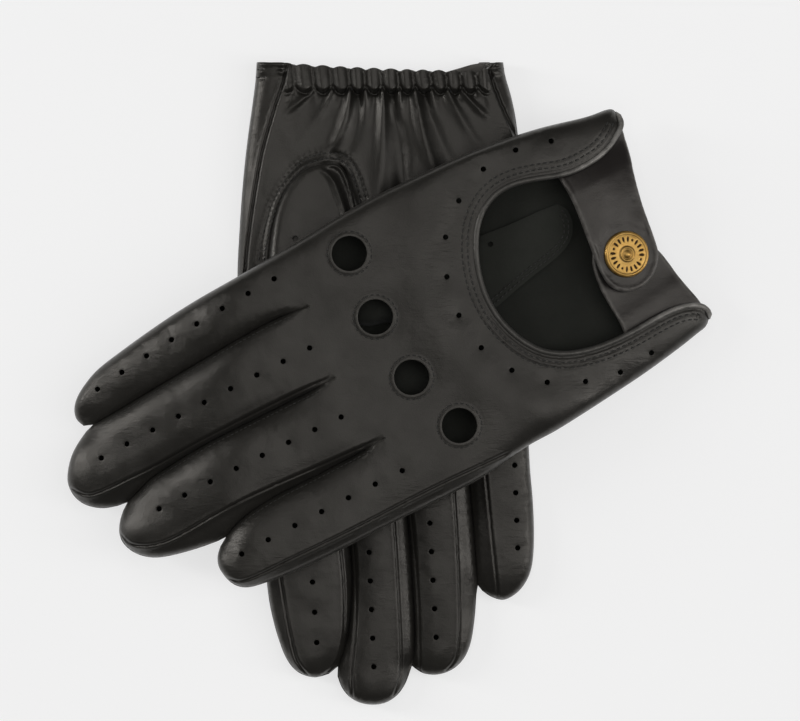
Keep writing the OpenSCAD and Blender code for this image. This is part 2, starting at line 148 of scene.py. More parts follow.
def follow(points, path):
    """Distance from each point to a polyline, and how far along it the nearest place is."""
    a, ab = path[:-1], np.diff(path, axis=0)
    length = np.linalg.norm(ab, axis=1)
    at = np.concatenate([[0], np.cumsum(length)[:-1]])
    far, s = np.empty(len(points)), np.empty(len(points))
    for i in range(0, len(points), 4000):
        p = points[i:i + 4000, None, :]
        t = np.clip(((p - a) * ab).sum(2) / np.maximum(length ** 2, 1e-12), 0, 1)
        q = np.linalg.norm(a + t[..., None] * ab - p, axis=2)
        best = q.argmin(1)
        rows = np.arange(len(best))
        far[i:i + 4000] = q[rows, best]
        s[i:i + 4000] = (at + t * length)[rows, best]
    return far, s


def inside(points, loop):
    """True for the points inside a closed loop."""
    a, b = loop, np.roll(loop, -1, 0)
    dy = np.where(np.abs(b[:, 1] - a[:, 1]) < 1e-12, 1e-12, b[:, 1] - a[:, 1])
    out = np.zeros(len(points), bool)
    for i in range(0, len(points), 4000):
        x, y = points[i:i + 4000, 0][:, None], points[i:i + 4000, 1][:, None]
        cross = (a[:, 1][None] > y) != (b[:, 1][None] > y)
        edge_x = a[:, 0] + (y - a[:, 1]) * (b[:, 0] - a[:, 0]) / dy
        out[i:i + 4000] = (cross & (x < edge_x)).sum(1) % 2 == 1
    return out


def offset_path(path, by):
    """The open path moved sideways by a distance, to its left if positive."""
    d = np.gradient(path, axis=0)
    d /= np.maximum(np.linalg.norm(d, axis=1), 1e-9)[:, None]
    return path + by * np.stack([-d[:, 1], d[:, 0]], 1)


def ripple(points, wave, seed):
    """Smooth noise between about -1 and 1, with that wavelength in millimetres."""
    s = 1.0 / wave
    return np.array([noise.noise((p[0] * s, p[1] * s, seed)) for p in points]) * 1.6


# ---- How a glove lies -----------------------------------------------------------


class Lay:
    """Takes points from a glove's hand frame, in millimetres, to the scene, in metres."""

    def __init__(self, angle, origin, middle, falls):
        a = math.radians(angle)
        self.x_axis = np.array([math.sin(a), -math.cos(a)])
        self.y_axis = np.array([math.cos(a), math.sin(a)])
        self.origin = np.array(origin, float)
        self.middle = middle
        self.falls = falls

    def lift(self, east):
        """How high the glove's middle plane lies, at places from west to east."""
        if not self.falls:
            return np.full(np.shape(east), self.middle)
        low = np.zeros(np.shape(east))
        for d in (east - FALL_FROM[1], FALL_FROM[0] - east):
            near = FALL_SLOPE * np.clip(d, 0, FALL_ROUND) ** 2 / (2 * FALL_ROUND)
            low += near + FALL_SLOPE * np.clip(d - FALL_ROUND, 0, None)
        return self.middle - low

    def flat(self, xy):
        """From the hand frame to the floor's plan, in millimetres."""
        xy = np.atleast_2d(xy)
        return self.origin + xy[:, :1] * self.x_axis + xy[:, 1:2] * self.y_axis

    def __call__(self, points):
        p = np.atleast_2d(points)
        at = self.flat(p[:, :2])
        return np.column_stack([at, self.lift(at[:, 0]) + p[:, 2]]) * MM

    def axes_at(self, xy):
        """A stiff piece's place and its axes, tilted with the glove."""
        at = self.flat(xy)[0]
        here = np.array([at[0], at[1], float(self.lift(at[0]))])
        fall = 0.0
        if self.falls and at[0] > FALL_FROM[1] + FALL_ROUND:
            fall = math.atan(FALL_SLOPE)
        c, s = math.cos(fall), math.sin(fall)
        tilt = np.array([[c, 0, s], [0, 1, 0], [-s, 0, c]])
        axes = np.array([[*self.x_axis, 0], [*self.y_axis, 0], [0, 0, 1.0]])
        return here, axes @ tilt.T


# ---- Outlines of the two gloves ------------------------------------------------
# A glove's edge runs from the cuff's index side round the four fingers to its
# little side. A valley is the line where two fingers meet, from tip to crotch.

LEFT_SIDE = [(37.6, -1.2), (39.6, -0.6), (40.7, 1.6), (41.5, 9.8), (44.7, 26.5), (46.8, 46),
             (47.4, 68), (46.9, 92), (44.3, 116), (42.3, 138), (40.8, 157), (38.8, 172),
             (36.1, 187), (33.9, 196.8), (31.3, 202.8), (28.4, 207.3), (25.2, 210),
             (21.6, 210.9), (18.4, 209.6)]
LEFT_VALLEYS = [
    [(17.4, 206), (18.2, 196), (19.7, 181), (21.2, 165), (22.7, 149), (23.5, 134), (22.6, 122.2)],
    [(-11.6, 206.5), (-9.6, 201), (-7.6, 195), (-6.0, 184), (-4.9, 172), (-4.4, 158),
     (-4.0, 142), (-3.7, 131), (-3.0, 124.2)],
    [(-36.4, 180.4), (-34.2, 176), (-32.3, 169), (-31.0, 158), (-30.6, 146), (-30.0, 132),
     (-28.9, 117.6)]]
LEFT_TIPS = [
    [(16.3, 209.6), (13.9, 213.8), (11, 217.6), (7, 220.9), (2.9, 222.9), (-1.6, 222.9),
     (-5.2, 221.4), (-8.1, 218.6), (-10.2, 215), (-11.4, 210.6)],
    [(-13.6, 209.3), (-16.2, 211.7), (-19.2, 213.5), (-22.4, 214.2), (-25.6, 213.5),
     (-28.6, 211.7), (-31.2, 208.9), (-33.3, 205), (-34.9, 198.8), (-36.1, 191), (-36.7, 184)],
    [(-38.6, 183.9), (-41.2, 186.2), (-44.4, 187.4), (-47.6, 187.2), (-50.8, 186.2),
     (-53.4, 184.4), (-55.2, 181.6), (-56.2, 177), (-57.1, 166), (-57.2, 150), (-56.3, 128),
     (-55.8, 109), (-55.2, 94), (-53.4, 84), (-51.9, 74), (-51.3, 64), (-50.3, 55), (-48.6, 42),
     (-46.4, 27), (-43.8, 13.5), (-41.9, 5.4), (-40.9, 1.6), (-38.8, -0.6)]]
RIGHT_SIDE = [(42.4, -1), (42.9, 6), (44, 14.5), (45.2, 23), (46.4, 33), (47.5, 45), (48.3, 57),
              (49, 72), (48.6, 90), (46.8, 110), (44.6, 130), (42.2, 150), (40, 166), (38.9, 178),
              (37.6, 187), (35, 197), (31.9, 204.6), (28, 208.9), (22.6, 210.6), (17.6, 209.4)]
RIGHT_VALLEYS = [
    [(14.3, 206.6), (12.2, 200), (10.3, 190), (9.6, 178), (10.4, 165), (13, 150), (16.5, 136),
     (18.6, 124)],
    [(-10.9, 206.4), (-12, 199), (-11.6, 186), (-10.6, 170), (-9.4, 156), (-7.4, 140),
     (-5, 124)],
    [(-33.6, 178.6), (-32.8, 168), (-31.8, 156), (-30.6, 143), (-29.4, 132), (-28.2, 121)]]
RIGHT_TIPS = [
    [(14.6, 210.2), (13.2, 213.9), (10.8, 217), (7.2, 219.2), (2.6, 220), (-2.2, 219.2),
     (-6, 216.6), (-8.6, 213), (-10.2, 209)],
    [(-12.2, 207.6), (-15, 209.2), (-19, 209.7), (-23, 208.8), (-26.6, 206.6), (-29.4, 203.2),
     (-31.4, 198), (-32.6, 190), (-33.2, 182)],
    [(-35.2, 180.8), (-38.4, 182.9), (-42.6, 183.9), (-47, 181.6), (-50.4, 177.4),
     (-52.4, 171.6), (-53, 162), (-52.6, 150), (-51.6, 138), (-51, 124), (-50.7, 105), (-50.2, 85),
     (-49.6, 65), (-49, 45), (-48, 30), (-46.8, 19), (-45.2, 11), (-43.2, 4), (-42.4, -1)]]
OPENING = [(35.4, -1.2), (34.1, -0.8), (32.8, 0.3), (31.4, 2.2), (29, 6), (27.4, 10.4),
           (26.6, 15.2), (26.4, 21), (27.4, 27), (29.4, 34), (30.8, 41), (30.5, 47.5),
           (28.2, 53), (24.2, 57.6), (18.6, 61.2),
           (10.4, 64.4), (1, 66), (-8, 65.3), (-16.6, 62.3), (-23.6, 57.6), (-28, 51.6),
           (-30.7, 44), (-31.9, 35), (-31.9, 26), (-31.2, 17), (-31, 9.6), (-31.8, 4.8),
           (-33, 1.7), (-34.6, -0.3), (-36.4, -1.1)]
KNUCKLES = [(33.1, 102), (9.8, 103.1), (-14, 100.6), (-35.7, 92.8)]
OPENING_HOLES = [(38.8, 23.6), (41.1, 35.9), (39.8, 48.6), (33.6, 60.7), (24.3, 70), (11.9, 75.3),
                 (-1.7, 77.1), (-14.9, 74.9), (-26.2, 68.7), (-35, 59.5), (-40.3, 47.5),
                 (-42.6, 35.3), (-41.1, 22.8)]
# Rows of perforations: first and last, how many, and how far the row bows sideways
LEFT_ROWS = [((36.1, 128.8), (27.7, 199.7), 8, 0.9), ((9.7, 127.8), (5.8, 208.4), 9, 0.3),
             ((-16.1, 128), (-18.3, 197.5), 8, 0.5), ((-41.4, 116.9), (-44, 178.3), 7, 0.3)]
RIGHT_ROWS = [((26, 136), (21.7, 198.4), 7, 0), ((5, 138), (2.1, 206.7), 8, 0),
              ((-15.5, 128), (-19.3, 196.6), 8, 0), ((-45.6, 118.6), (-47.3, 165.9), 6, 0)]
# Seams that show: between the finger leather and its side strips
LEFT_SEAMS = {
    "middle": [(1, 222.6), (-3.6, 218.4), (-4.7, 212), (-4.6, 203), (-4.4, 192), (-3.2, 176),
               (-2.6, 160), (-2.2, 145), (-2.1, 132), (-2.8, 124.6)],
    "ring": [(-19.8, 213.6), (-24.4, 212), (-27.4, 208), (-29.2, 201.5), (-29.3, 194),
             (-28.4, 184), (-27.6, 172), (-27.6, 157), (-28, 142), (-28.2, 128), (-28.5, 117.8)],
    "little": [(-49.6, 186.2), (-52.2, 182.6), (-52.9, 176), (-52.7, 166), (-52.6, 150),
               (-52.2, 134), (-51.6, 120), (-51.2, 106), (-51.2, 92), (-51.2, 80)]}
RIGHT_SEAMS = {
    "index": [(24.6, 209.8), (28.4, 205), (30.4, 198), (32.2, 189), (34, 178), (36.4, 162),
              (38.6, 146), (40, 130)],
    "index_in": [(19.6, 209.8), (15.2, 206), (12.9, 199), (12.2, 190), (12.4, 178), (13.6, 166),
                 (16, 152), (18.4, 138)],
    "middle": [(9.4, 217.4), (9.8, 209), (8.8, 199), (8.2, 188), (8.2, 176), (9, 164),
               (11.2, 150), (14.4, 136)],
    "middle_in": [(-4.6, 217), (-7, 210), (-7.3, 202), (-6.8, 190), (-6.1, 176), (-5.2, 162),
                  (-4.4, 150), (-3.6, 136)],
    "ring": [(-14, 208.6), (-13.6, 200), (-13.4, 188), (-12.4, 172), (-11, 156), (-9, 140)],
    "ring_in": [(-22.6, 208.4), (-26, 204), (-27.2, 196), (-27.3, 184), (-26.8, 170),
                (-26.1, 156), (-25.4, 146), (-25, 134)],
    "little": [(-40.6, 183.2), (-39.9, 176), (-39, 168), (-38, 158), (-37, 148), (-36.2, 140),
               (-35, 128)],
    "side_index": [(31.4, -1), (33.4, 6.6), (35.4, 12.5), (38, 21), (40.2, 29), (42, 38),
                   (43.6, 48), (45, 58), (46.2, 70), (46.6, 90), (45.4, 108)],
    "side_little": [(-37.4, -1), (-38.2, 4), (-39.8, 9), (-42, 14.4), (-44.6, 20), (-46.8, 25)]}
THUMB = [(38.1, 68), (37.3, 59), (35.8, 51.4), (33.6, 45.3), (30.7, 40.6), (27.4, 37.2),
         (23.6, 35.1), (19.6, 34.1), (15.6, 34), (12.8, 35.6), (10.9, 39.6), (9.1, 45.4), (7.8, 52),
         (7.2, 62), (7.8, 80), (9.6, 98), (12.6, 110), (17.2, 118.4), (22.8, 120.6), (28.8, 117.8),
         (33, 109), (36, 95), (37.9, 80)]
THUMB_STITCH = [(41.7, 67.6), (40.8, 61.8), (39.2, 54.9), (37, 48.2), (33.8, 41.9), (30.2, 36.8),
                (26.2, 33), (21.8, 31), (17.2, 30.3), (13.2, 30.8), (10, 33.2), (7.6, 37.2),
                (6, 41.8), (4.8, 46.4)]
THUMB_HOLES = [(29, 59.7)]
LEFT_THUMB = [(38, 60), (36.6, 46), (31, 36), (22, 32), (13, 36), (7.4, 46), (6, 60), (7, 78),
              (11, 90), (17, 96.4), (22, 97.8), (27, 96.4), (33, 90), (37, 78)]
# The left thumb's leather seen inside the opening: its stitched edge, and the rest of it
SEAT_EDGE = [(18.6, 30.6), (16.4, 28.6), (13.2, 28), (9.6, 28.8), (6, 31), (3.2, 35.4), (1.2, 42),
             (-0.6, 50), (-3.4, 60), (-7, 72)]
SEAT_REST = [(2, 76), (14, 76), (20.6, 72), (20, 62), (19.2, 50), (19, 43), (19, 37)]
SEAT_HOLES = [(15.8, 57)]
STRAP = [(34, -0.7), (26.6, 0.6), (19.8, 2.7), (13.4, 4.2), (6.5, 5.3), (0.4, 5.9), (-6, 6.3),
         (-11, 7.2), (-15, 9.8), (-17.7, 13.4), (-18.9, 17.4), (-18.5, 21.6), (-16.7, 25.3),
         (-13.3, 27.8), (-8.8, 28.7), (-2.5, 28.7), (4.4, 28.3), (11.6, 27.8), (19, 27.6),
         (27, 28), (34, 28.6)]
UNDER_TAB = [(1.6, 13), (-3.4, 8.8), (-8, 6.6), (-11.5, 5), (-16.4, 3.7), (-21.4, 2.7),
             (-26.8, 1.2), (-32, -0.3), (-36.4, -0.8), (-37, 29.4), (-31.4, 28.9), (-25.9, 28.9),
             (-18.4, 29.6), (-12.1, 29.9), (-4, 28.6), (1, 24)]
BENDS = (184, 167, 157, 142)     # where each right finger bends
BEND_REACH = 8                   # how far before each bend the leather is split, and how far after it the span ends
GATHER_ENDS = (-38.0, -35.5, 30.0, 33.5)   # where the gathered wrist fades in and out
# The gathered folds: where each starts, its lean and curl, how far it reaches, its height
GATHERS = [(29.3, 0.9, 0, 6, 0.9), (22.4, 0.85, 0.03, 11, 1.5), (16.2, 0.25, 0.02, 9, 1.4),
           (10.4, -0.05, 0.016, 24, 1.9), (4.8, 0, 0, 7, 1.3), (-1.0, -0.04, 0.002, 34, 1.7),
           (-6.9, 0, 0, 10, 1.5), (-12.1, -0.12, -0.004, 28, 2.0), (-17.6, -0.15, 0, 6, 1.2),
           (-23.1, -0.35, -0.01, 13, 1.5), (-28.3, -0.45, -0.04, 12, 1.5),
           (-33.5, -1.1, 0, 12, 1.2)]
THUMB_RIDGE = [(20.6, 35.8), (18.7, 36.6), (15.8, 39.8), (13.8, 44.7), (11.8, 50.2), (10.4, 56)]
THUMB_HOLLOW = [(16.2, 35.6), (13.4, 38.4), (11.4, 42.8), (9.6, 48.7), (8.8, 55)]

# ---- Triangulated sheets ------------------------------------------------------------


def grid_points(loop, spacing):
    """Points of an even triangle grid over the box round a loop."""
    low, high = loop.min(0), loop.max(0)
    rows = np.arange(low[1], high[1], spacing * 0.866)
    cols = np.arange(low[0], high[0], spacing)
    return np.array([(x + (spacing / 2 if j % 2 else 0), y)
                     for j, y in enumerate(rows) for x in cols])


def edge_rows(loop, rows):
    """Rows of points at the given distances from a closed loop, on both its sides."""
    d = np.roll(loop, -1, 0) - np.roll(loop, 1, 0)
    d /= np.maximum(np.linalg.norm(d, axis=1), 1e-9)[:, None]
    n = np.stack([-d[:, 1], d[:, 0]], 1)
    return [(by, np.concatenate([loop + n * by, loop - n * by])) for by in rows]


def triangulate(outline, holes=(), small_holes=(), lines=(), spacing=1.5, rows=EDGE_ROWS,
                dense=()):
    """Points and triangles over an outline with holes; lines are kept as edges.

    Each dense box is (x0, x1, y0, y1, spacing)."""
    loops = [outline, *holes]
    cut = [*loops, *small_holes]
    points, edges = [], []
    for loop in cut:
        first = len(points)
        points.extend(map(tuple, loop))
        edges.extend((first + i, first + (i + 1) % len(loop)) for i in range(len(loop)))

    def reach(p):
        return np.min([distance(p, loop, True) for loop in cut], axis=0)

    def kept(p):
        ok = inside(p, outline)
        for hole in [*holes, *small_holes]:
            ok &= ~inside(p, hole)
        return ok

    taken = {(round(p[0] / 0.3), round(p[1] / 0.3)) for p in points}
    on_lines = KDTree(sum(map(len, lines)))
    for i, q in enumerate(q for line in lines for q in line):
        on_lines.insert((*q, 0), i)
    on_lines.balance()

    def clear(p, room=0.5):
        if not lines:
            return p
        return p[[on_lines.find((*q, 0))[2] > room for q in p]]

    def add(candidates):
        for p in candidates:
            key = (round(p[0] / 0.3), round(p[1] / 0.3))
            if key not in taken:
                taken.add(key)
                points.append((float(p[0]), float(p[1])))

    for line in lines:
        ok = kept(line) & (reach(line) > 0.35)
        last = None
        for good, p in zip(ok, line):
            if not good:
                last = None
                continue
            points.append((float(p[0]), float(p[1])))
            taken.add((round(p[0] / 0.3), round(p[1] / 0.3)))
            if last is not None:
                edges.append((last, len(points) - 1))
            last = len(points) - 1
    for loop in loops:
        for by, p in edge_rows(loop, rows):
            p = p[kept(p)]
            add(clear(p[reach(p) > by * 0.86]))
    for hole in small_holes:
        middle = hole.mean(0)
        add(middle + (hole - middle) * 1.7)
    grids = [(grid_points(np.array([(x0, y0), (x1, y1)]), gap), gap)
             for x0, x1, y0, y1, gap in dense]
    p = grid_points(outline, spacing)
    for x0, x1, y0, y1, gap in dense:
        p = p[(p[:, 0] < x0) | (p[:, 0] > x1) | (p[:, 1] < y0) | (p[:, 1] > y1)]
    for p, gap in [*grids, (p, spacing)]:
        p = p[kept(p)]
        room = min(max(rows) + 0.45 * gap, 0.9 if gap < 1 else 9) if rows else 0.4 * gap
        add(clear(p[reach(p) > room]))
    got = delaunay_2d_cdt([Vector(p) for p in points], edges, [], 0, 1e-5)
    v = np.array([tuple(p) for p in got[0]])
    t = np.array([tuple(f) for f in got[2]])
    t = t[kept(v[t].mean(1))]
    a, b, c = v[t[:, 0]], v[t[:, 1]], v[t[:, 2]]
    area = (b[:, 0] - a[:, 0]) * (c[:, 1] - a[:, 1]) - (b[:, 1] - a[:, 1]) * (c[:, 0] - a[:, 0])
    t = t[np.abs(area) > 1e-5]
    area = area[np.abs(area) > 1e-5]
    t[area < 0] = t[area < 0][:, ::-1]
    return v, t


def vertex_normals(points, triangles):
    """Unit normals, where larger triangles count for more."""
    a, b, c = (points[triangles[:, k]] for k in range(3))
    face = np.cross(b - a, c - a)
    out = np.zeros_like(points)
    for k in range(3):
        np.add.at(out, triangles[:, k], face)
    return out / np.maximum(np.linalg.norm(out, axis=1), 1e-20)[:, None]


class Piece:
    """Collects shells of leather into one Blender object with fixed shading normals."""

    def __init__(self, name):
        self.name = name
        self.points, self.faces, self.normals, self.inner, self.wear = [], [], [], [], []
        self.count = 0

    def shell(self, points, normals, triangles, thickness, wear=None):
        """A sheet with thickness: its face, its flesh side and the rim between them."""
        used = np.unique(triangles)
        index = np.full(len(points), -1)
        index[used] = np.arange(len(used))
        tri = index[triangles]
        p, n = points[used], normals[used]
        w = np.zeros(len(used)) if wear is None else wear[used]
        m = len(used)
        base = self.count
        both = np.concatenate([p, p - n * thickness * MM])
        self.points.append(both)
        self.wear.append(np.concatenate([w, w]))
        self.count += 2 * m
        self._add(tri + base, n, tri, False)
        back = tri[:, ::-1]
        self._add(back + base + m, -n, back, True)
        e = np.concatenate([tri[:, [0, 1]], tri[:, [1, 2]], tri[:, [2, 0]]])
        key = np.sort(e, 1)
        _, first, counts = np.unique(key, axis=0, return_index=True, return_counts=True)
        rim = e[first[counts == 1]]
        a, b = rim[:, 0], rim[:, 1]
        q = np.concatenate([np.stack([b, a, a + m], 1), np.stack([b, a + m, b + m], 1)])
        f = np.cross(both[q[:, 1]] - both[q[:, 0]], both[q[:, 2]] - both[q[:, 0]])
        f /= np.maximum(np.linalg.norm(f, axis=1), 1e-20)[:, None]
        self.faces.append(q + base)
        self.normals.append(np.repeat(f, 3, 0))
        self.inner.append(np.zeros(len(q), int))

    def _add(self, faces, normals, local, inner):
        self.faces.append(faces)
        self.normals.append(normals[local].reshape(-1, 3))
        self.inner.append(np.full(len(faces), 1 if inner else 0))

    def solid(self, points, faces, wear=0.0):
        """A closed smooth solid, of triangles or quads given as triangles."""
        f = np.array(faces)
        n = vertex_normals(points, f)
        self.points.append(points)
        self.wear.append(np.full(len(points), wear) if np.isscalar(wear) else wear)
        self._add(f + self.count, n, f, False)
        self.count += len(points)

    def make(self, material, inner_material=None):
        """The Blender object, with its shading normals and, as an attribute, its wear, tarnish and
        painted highlight.
        """
        mesh = bpy.data.meshes.new(self.name)
        points, faces = np.concatenate(self.points), np.concatenate(self.faces)
        mesh.vertices.add(len(points))
        mesh.vertices.foreach_set("co", points.astype(np.float32).ravel())
        mesh.loops.add(3 * len(faces))
        mesh.loops.foreach_set("vertex_index", faces.astype(np.int32).ravel())
        mesh.polygons.add(len(faces))
        mesh.polygons.foreach_set("loop_start", np.arange(0, 3 * len(faces), 3, dtype=np.int32))
        mesh.polygons.foreach_set("loop_total", np.full(len(faces), 3, np.int32))
        mesh.materials.append(material)
        if inner_material:
            mesh.materials.append(inner_material)
            mesh.polygons.foreach_set("material_index",
                                      np.concatenate(self.inner).astype(np.int32))
        mesh.polygons.foreach_set("use_smooth", np.ones(len(faces), bool))
        mesh.update(calc_edges=True)
        mesh.normals_split_custom_set(np.concatenate(self.normals).tolist())
        wear = mesh.attributes.new("wear", "FLOAT", "POINT")
        wear.data.foreach_set("value", np.concatenate(self.wear).astype(np.float32))
        obj = bpy.data.objects.new(self.name, mesh)
        bpy.context.scene.collection.objects.link(obj)
        return obj


# ---- The two gloves ------------------------------------------------------------------

opening_path = spline(OPENING)
thumb_loop = spline(THUMB, closed=True)
thumb_seam = spline(THUMB_STITCH)


def glove_edge(side, valleys, tips):
    """The glove's whole edge, from the cuff round the fingers and back to the cuff."""
    half_gap = np.array([0.03, 0])
    parts = [spline(side)]
    for valley, tip in zip(valleys, tips):
        line = spline(valley)
        parts += [line + half_gap, line[-1:] - [0, 0.25], line[::-1] - half_gap, spline(tip)]
    return np.concatenate(parts)


FINGER_X = {"left": (29, 6, -20, -46), "right": (28, 5, -18, -42)}   # middles of the fingers


class Glove:
    """One glove's outline, seams and perforations, and how its leather swells over them."""

    def __init__(self, name, lay, side, valleys, tips, rows, seams):
        self.name, self.lay = name, lay
        self.edge = glove_edge(side, valleys, tips)
        self.valleys = [spline(v)[::-1] for v in valleys]
        self.rim = [spline(side), *(spline(t) for t in tips)]
        self.seams = {k: spline(v) for k, v in seams.items()}
        self.holes = [p for row in rows for p in self.row(*row)]
        self.crotches = [np.array(v[-1], float) for v in valleys]
        self.pad = self.build_pad()

    @staticmethod
    def row(first, last, count, bow):
        """A row of perforations that bows sideways by bow at its middle."""
        first, last = np.array(first, float), np.array(last, float)
        t = np.linspace(0, 1, count)[:, None]
        line = first + (last - first) * t
        line[:, 0] += (bow * 4 * t * (1 - t))[:, 0]
        return [tuple(p) for p in line]

    def near_edge(self, p):
        """0 at the glove's edge and valleys, rising to 1; a valley narrows to its crotch."""
        f = np.ones(len(p))
        for rim in self.rim:
            f *= 1 - np.exp(-distance(p, rim) / ROUNDING)
        for v in self.valleys:
            up = p[:, 1] - v[0, 1]
            reach = ROUNDING * (0.16 + 0.84 * smooth(-1, 30, up))
            depth = 0.42 + 0.58 * smooth(0, 11, up)
            f *= 1 - depth * np.exp(-distance(p, v) / reach)
        return f

    def build_pad(self):
        """The soft inflation on a grid, blurred so that no finger has a ridge."""
        step = 0.8
        xs, ys = np.arange(-62, 56, step), np.arange(-8, 230, step)
        grid = np.array([(x, y) for y in ys for x in xs])
        raw = self.near_edge(grid)
        loop = np.concatenate([self.edge, [[-42, -9], [42, -9]]])
        raw[~inside(grid, loop)] = 0
        raw = raw.reshape(len(ys), len(xs))
        k = np.exp(-(np.arange(-8, 9) * step / 2.6) ** 2)
        k /= k.sum()
        for axis in (0, 1):
            raw = np.apply_along_axis(lambda r: np.convolve(r, k, "same"), axis, raw)
        return xs[0], ys[0], step, raw

    def padded_height(self, p, d):
        x0, y0, step, grid = self.pad
        fx = np.clip((p[:, 0] - x0) / step, 0, grid.shape[1] - 1.001)
        fy = np.clip((p[:, 1] - y0) / step, 0, grid.shape[0] - 1.001)
        i, j = fx.astype(int), fy.astype(int)
        u, v = fx - i, fy - j
        soft = ((grid[j, i] * (1 - u) + grid[j, i + 1] * u) * (1 - v)
                + (grid[j + 1, i] * (1 - u) + grid[j + 1, i + 1] * u) * v)
        near = self.near_edge(p)
        f = near + (np.maximum(soft, 0.02) - near) * smooth(1.0, 5.0, d)
        return np.sqrt(np.clip(1 - (1 - f) ** 2, 0, 1))

    def finger(self, p):
        """Which finger each point belongs to, 0 for the index."""
        return sum((p[:, 0] < np.interp(p[:, 1], v[:, 1], v[:, 0])).astype(int)
                   for v in self.valleys)

    def base_relief(self, p):
        """Marks of the sewing that both sides of a glove share."""
        z = np.zeros(len(p))
        for c in self.crotches:
            r = p - c
            far = np.linalg.norm(r, axis=1)
            turn = np.arctan2(r[:, 0], -r[:, 1])
            z -= 0.1 * np.exp(-(far / 7) ** 2) * np.maximum(0, np.cos(turn * 2.5)) ** 2
        return z

    def beyond_seam(self, name, p):
        """True past a seam, on its side strip's side."""
        seam = self.seams[name]
        order = np.argsort(seam[:, 1])
        x = np.interp(p[:, 1], seam[order, 1], seam[order, 0])
        if name.startswith("side"):
            high = seam[:, 0].mean() > 0
        else:
            high = seam[:, 0].mean() > FINGER_X[self.name][NAMES.index(name.split("_")[0])]
        return (p[:, 0] > x) == high

    def seam_relief(self, p):
        """A groove along each seam, and the side strip that falls away past it."""
        z = np.zeros(len(p))
        is_left = self.name == "left"
        for name, seam in self.seams.items():
            d, s = follow(p, seam)
            side = name.startswith("side")
            root = 1 if side else smooth(0, 4.5 if is_left else 9, s.max() - s)
            groove = 1.2 if side else 0.85 if is_left else 0.7
            ridge = 0.14 if is_left else 0.26
            z -= root * groove * bump(d, 0.5 if side else 0.36)
            z += root * ridge * bump(d - 0.85, 0.42)
            past = self.beyond_seam(name, p)
            fall = 0.5 if side else (1.0 if is_left else 0.55) * smooth(0, 15, s.max() - s)
            z -= np.where(past, fall * smooth(0, 1.8, d) * bump(d, 9), 0)
        return z


def hole_relief(p, holes):
    """The leather dips a little round each perforation."""
    return -0.28 * sum(bump(np.hypot(p[:, 0] - x, p[:, 1] - y), 1.9) for x, y in holes)


def undulation(p, seed, soft=0.5, fine=0.1):
    """The slow waves and small creases of thin leather."""
    return (soft * ripple(p, 34, seed) + fine * ripple(p, 10, seed + 7)
            + 0.4 * fine * ripple(p, 4.2, seed + 13))


def finger_creases(p, start):
    """Faint creases across the fingers, stronger at the joints."""
    y = p[:, 1] + 1.6 * ripple(p, 16, 3.3)
    where = smooth(start, start + 12, p[:, 1])
    joints = bump(y - 152, 9) + bump(y - 176, 8)
    return -0.05 * where * (0.35 + joints) * np.maximum(0, np.sin(y * 1.75)) ** 3


def back_relief(glove, p):
    """Relief of a back: opening, knuckle holes, perforations and their topstitching."""
    o = distance(p, opening_path)
    lower = 0.4 + 0.6 * smooth(6, -14, p[:, 0]) * smooth(20, 40, p[:, 1])
    z = lower * (-0.26 * bump(o - 1.3, 0.45) - 0.24 * bump(o - TOPSTITCH[0], 0.45)
                 - 0.22 * bump(o - TOPSTITCH[1], 0.45) + 0.16 * bump(o - 2.1, 0.5)
                 + 0.16 * bump(o - 3.9, 0.6))
    close = o < 8
    if close.any():
        t, s = follow(p[close], opening_path)
        z[close] += 0.07 * np.sin(s * 2 * math.pi / 2.2) * bump(t - 3.9, 1.4)
    for k in KNUCKLES:
        r = np.hypot(p[:, 0] - k[0], p[:, 1] - k[1]) - KNUCKLE_R
        z += -0.2 * bump(r - 1.5, 0.45) + 0.16 * bump(r - 0.6, 0.5) - 0.1 * bump(r - 3, 1.6)
    z += hole_relief(p, [*glove.holes, *OPENING_HOLES])
    return z


def gather_turn(x):
    """Counts the gathered folds across the wrist: whole numbers where a fold starts."""
    at = [-45.1, -39.3, *(g[0] for g in GATHERS[::-1]), 35.2, 41]
    return np.interp(x, at, np.arange(len(at)))


def gather(p):
    """Puffs over the elastic, ending in a zigzag line, and the folds that fan out past it.

    Each fold widens and flattens as it runs on, and is steeper on one side."""
    x, y = p[:, 0], p[:, 1]
    lump = np.abs(np.sin(math.pi * gather_turn(x + 0.12 * (y - 8) + 0.3 * ripple(p, 9, 1.5))))
    below = y - (7.7 + 2.3 * lump)
    z = 1.9 * lump ** 0.9 * smooth(0, 1.5, -below) - 0.5
    past = np.clip(y - 7.7, 0, None)
    for at, lean, curl, reach, rise in GATHERS:
        middle = at + lean * past + curl * past ** 2 + 0.2 * ripple(p, 13, at) * smooth(0, 6, past)
        width = (0.95 + 0.05 * past) * math.hypot(1, lean)
        u = (x - middle) / width
        u = np.where(u > 0, u * 0.75, u * 1.3)
        fold = rise * np.exp(-(past / reach) ** 1.6) * np.exp(-np.abs(u) ** 1.7)
        if reach > 20:
            fold -= 0.5 * rise * np.exp(-(past / reach) ** 1.3) * bump(x - middle + 2.6 * width,
                                                                    1.2 * width)
        z += 1.15 * fold * smooth(-0.4, 0.7, below)
    z -= 0.8 * bump(below, 0.5) * (0.45 + 0.55 * lump)
    z -= 0.9 * lump * np.exp(-np.clip(below, 0, None) / 2.8) * smooth(-0.8, 0.2, below)
    z += 0.5 * smooth(6, 30, y)
    a, b, c, d = GATHER_ENDS
    return smooth(a, b, x) * smooth(d, c, x) * z


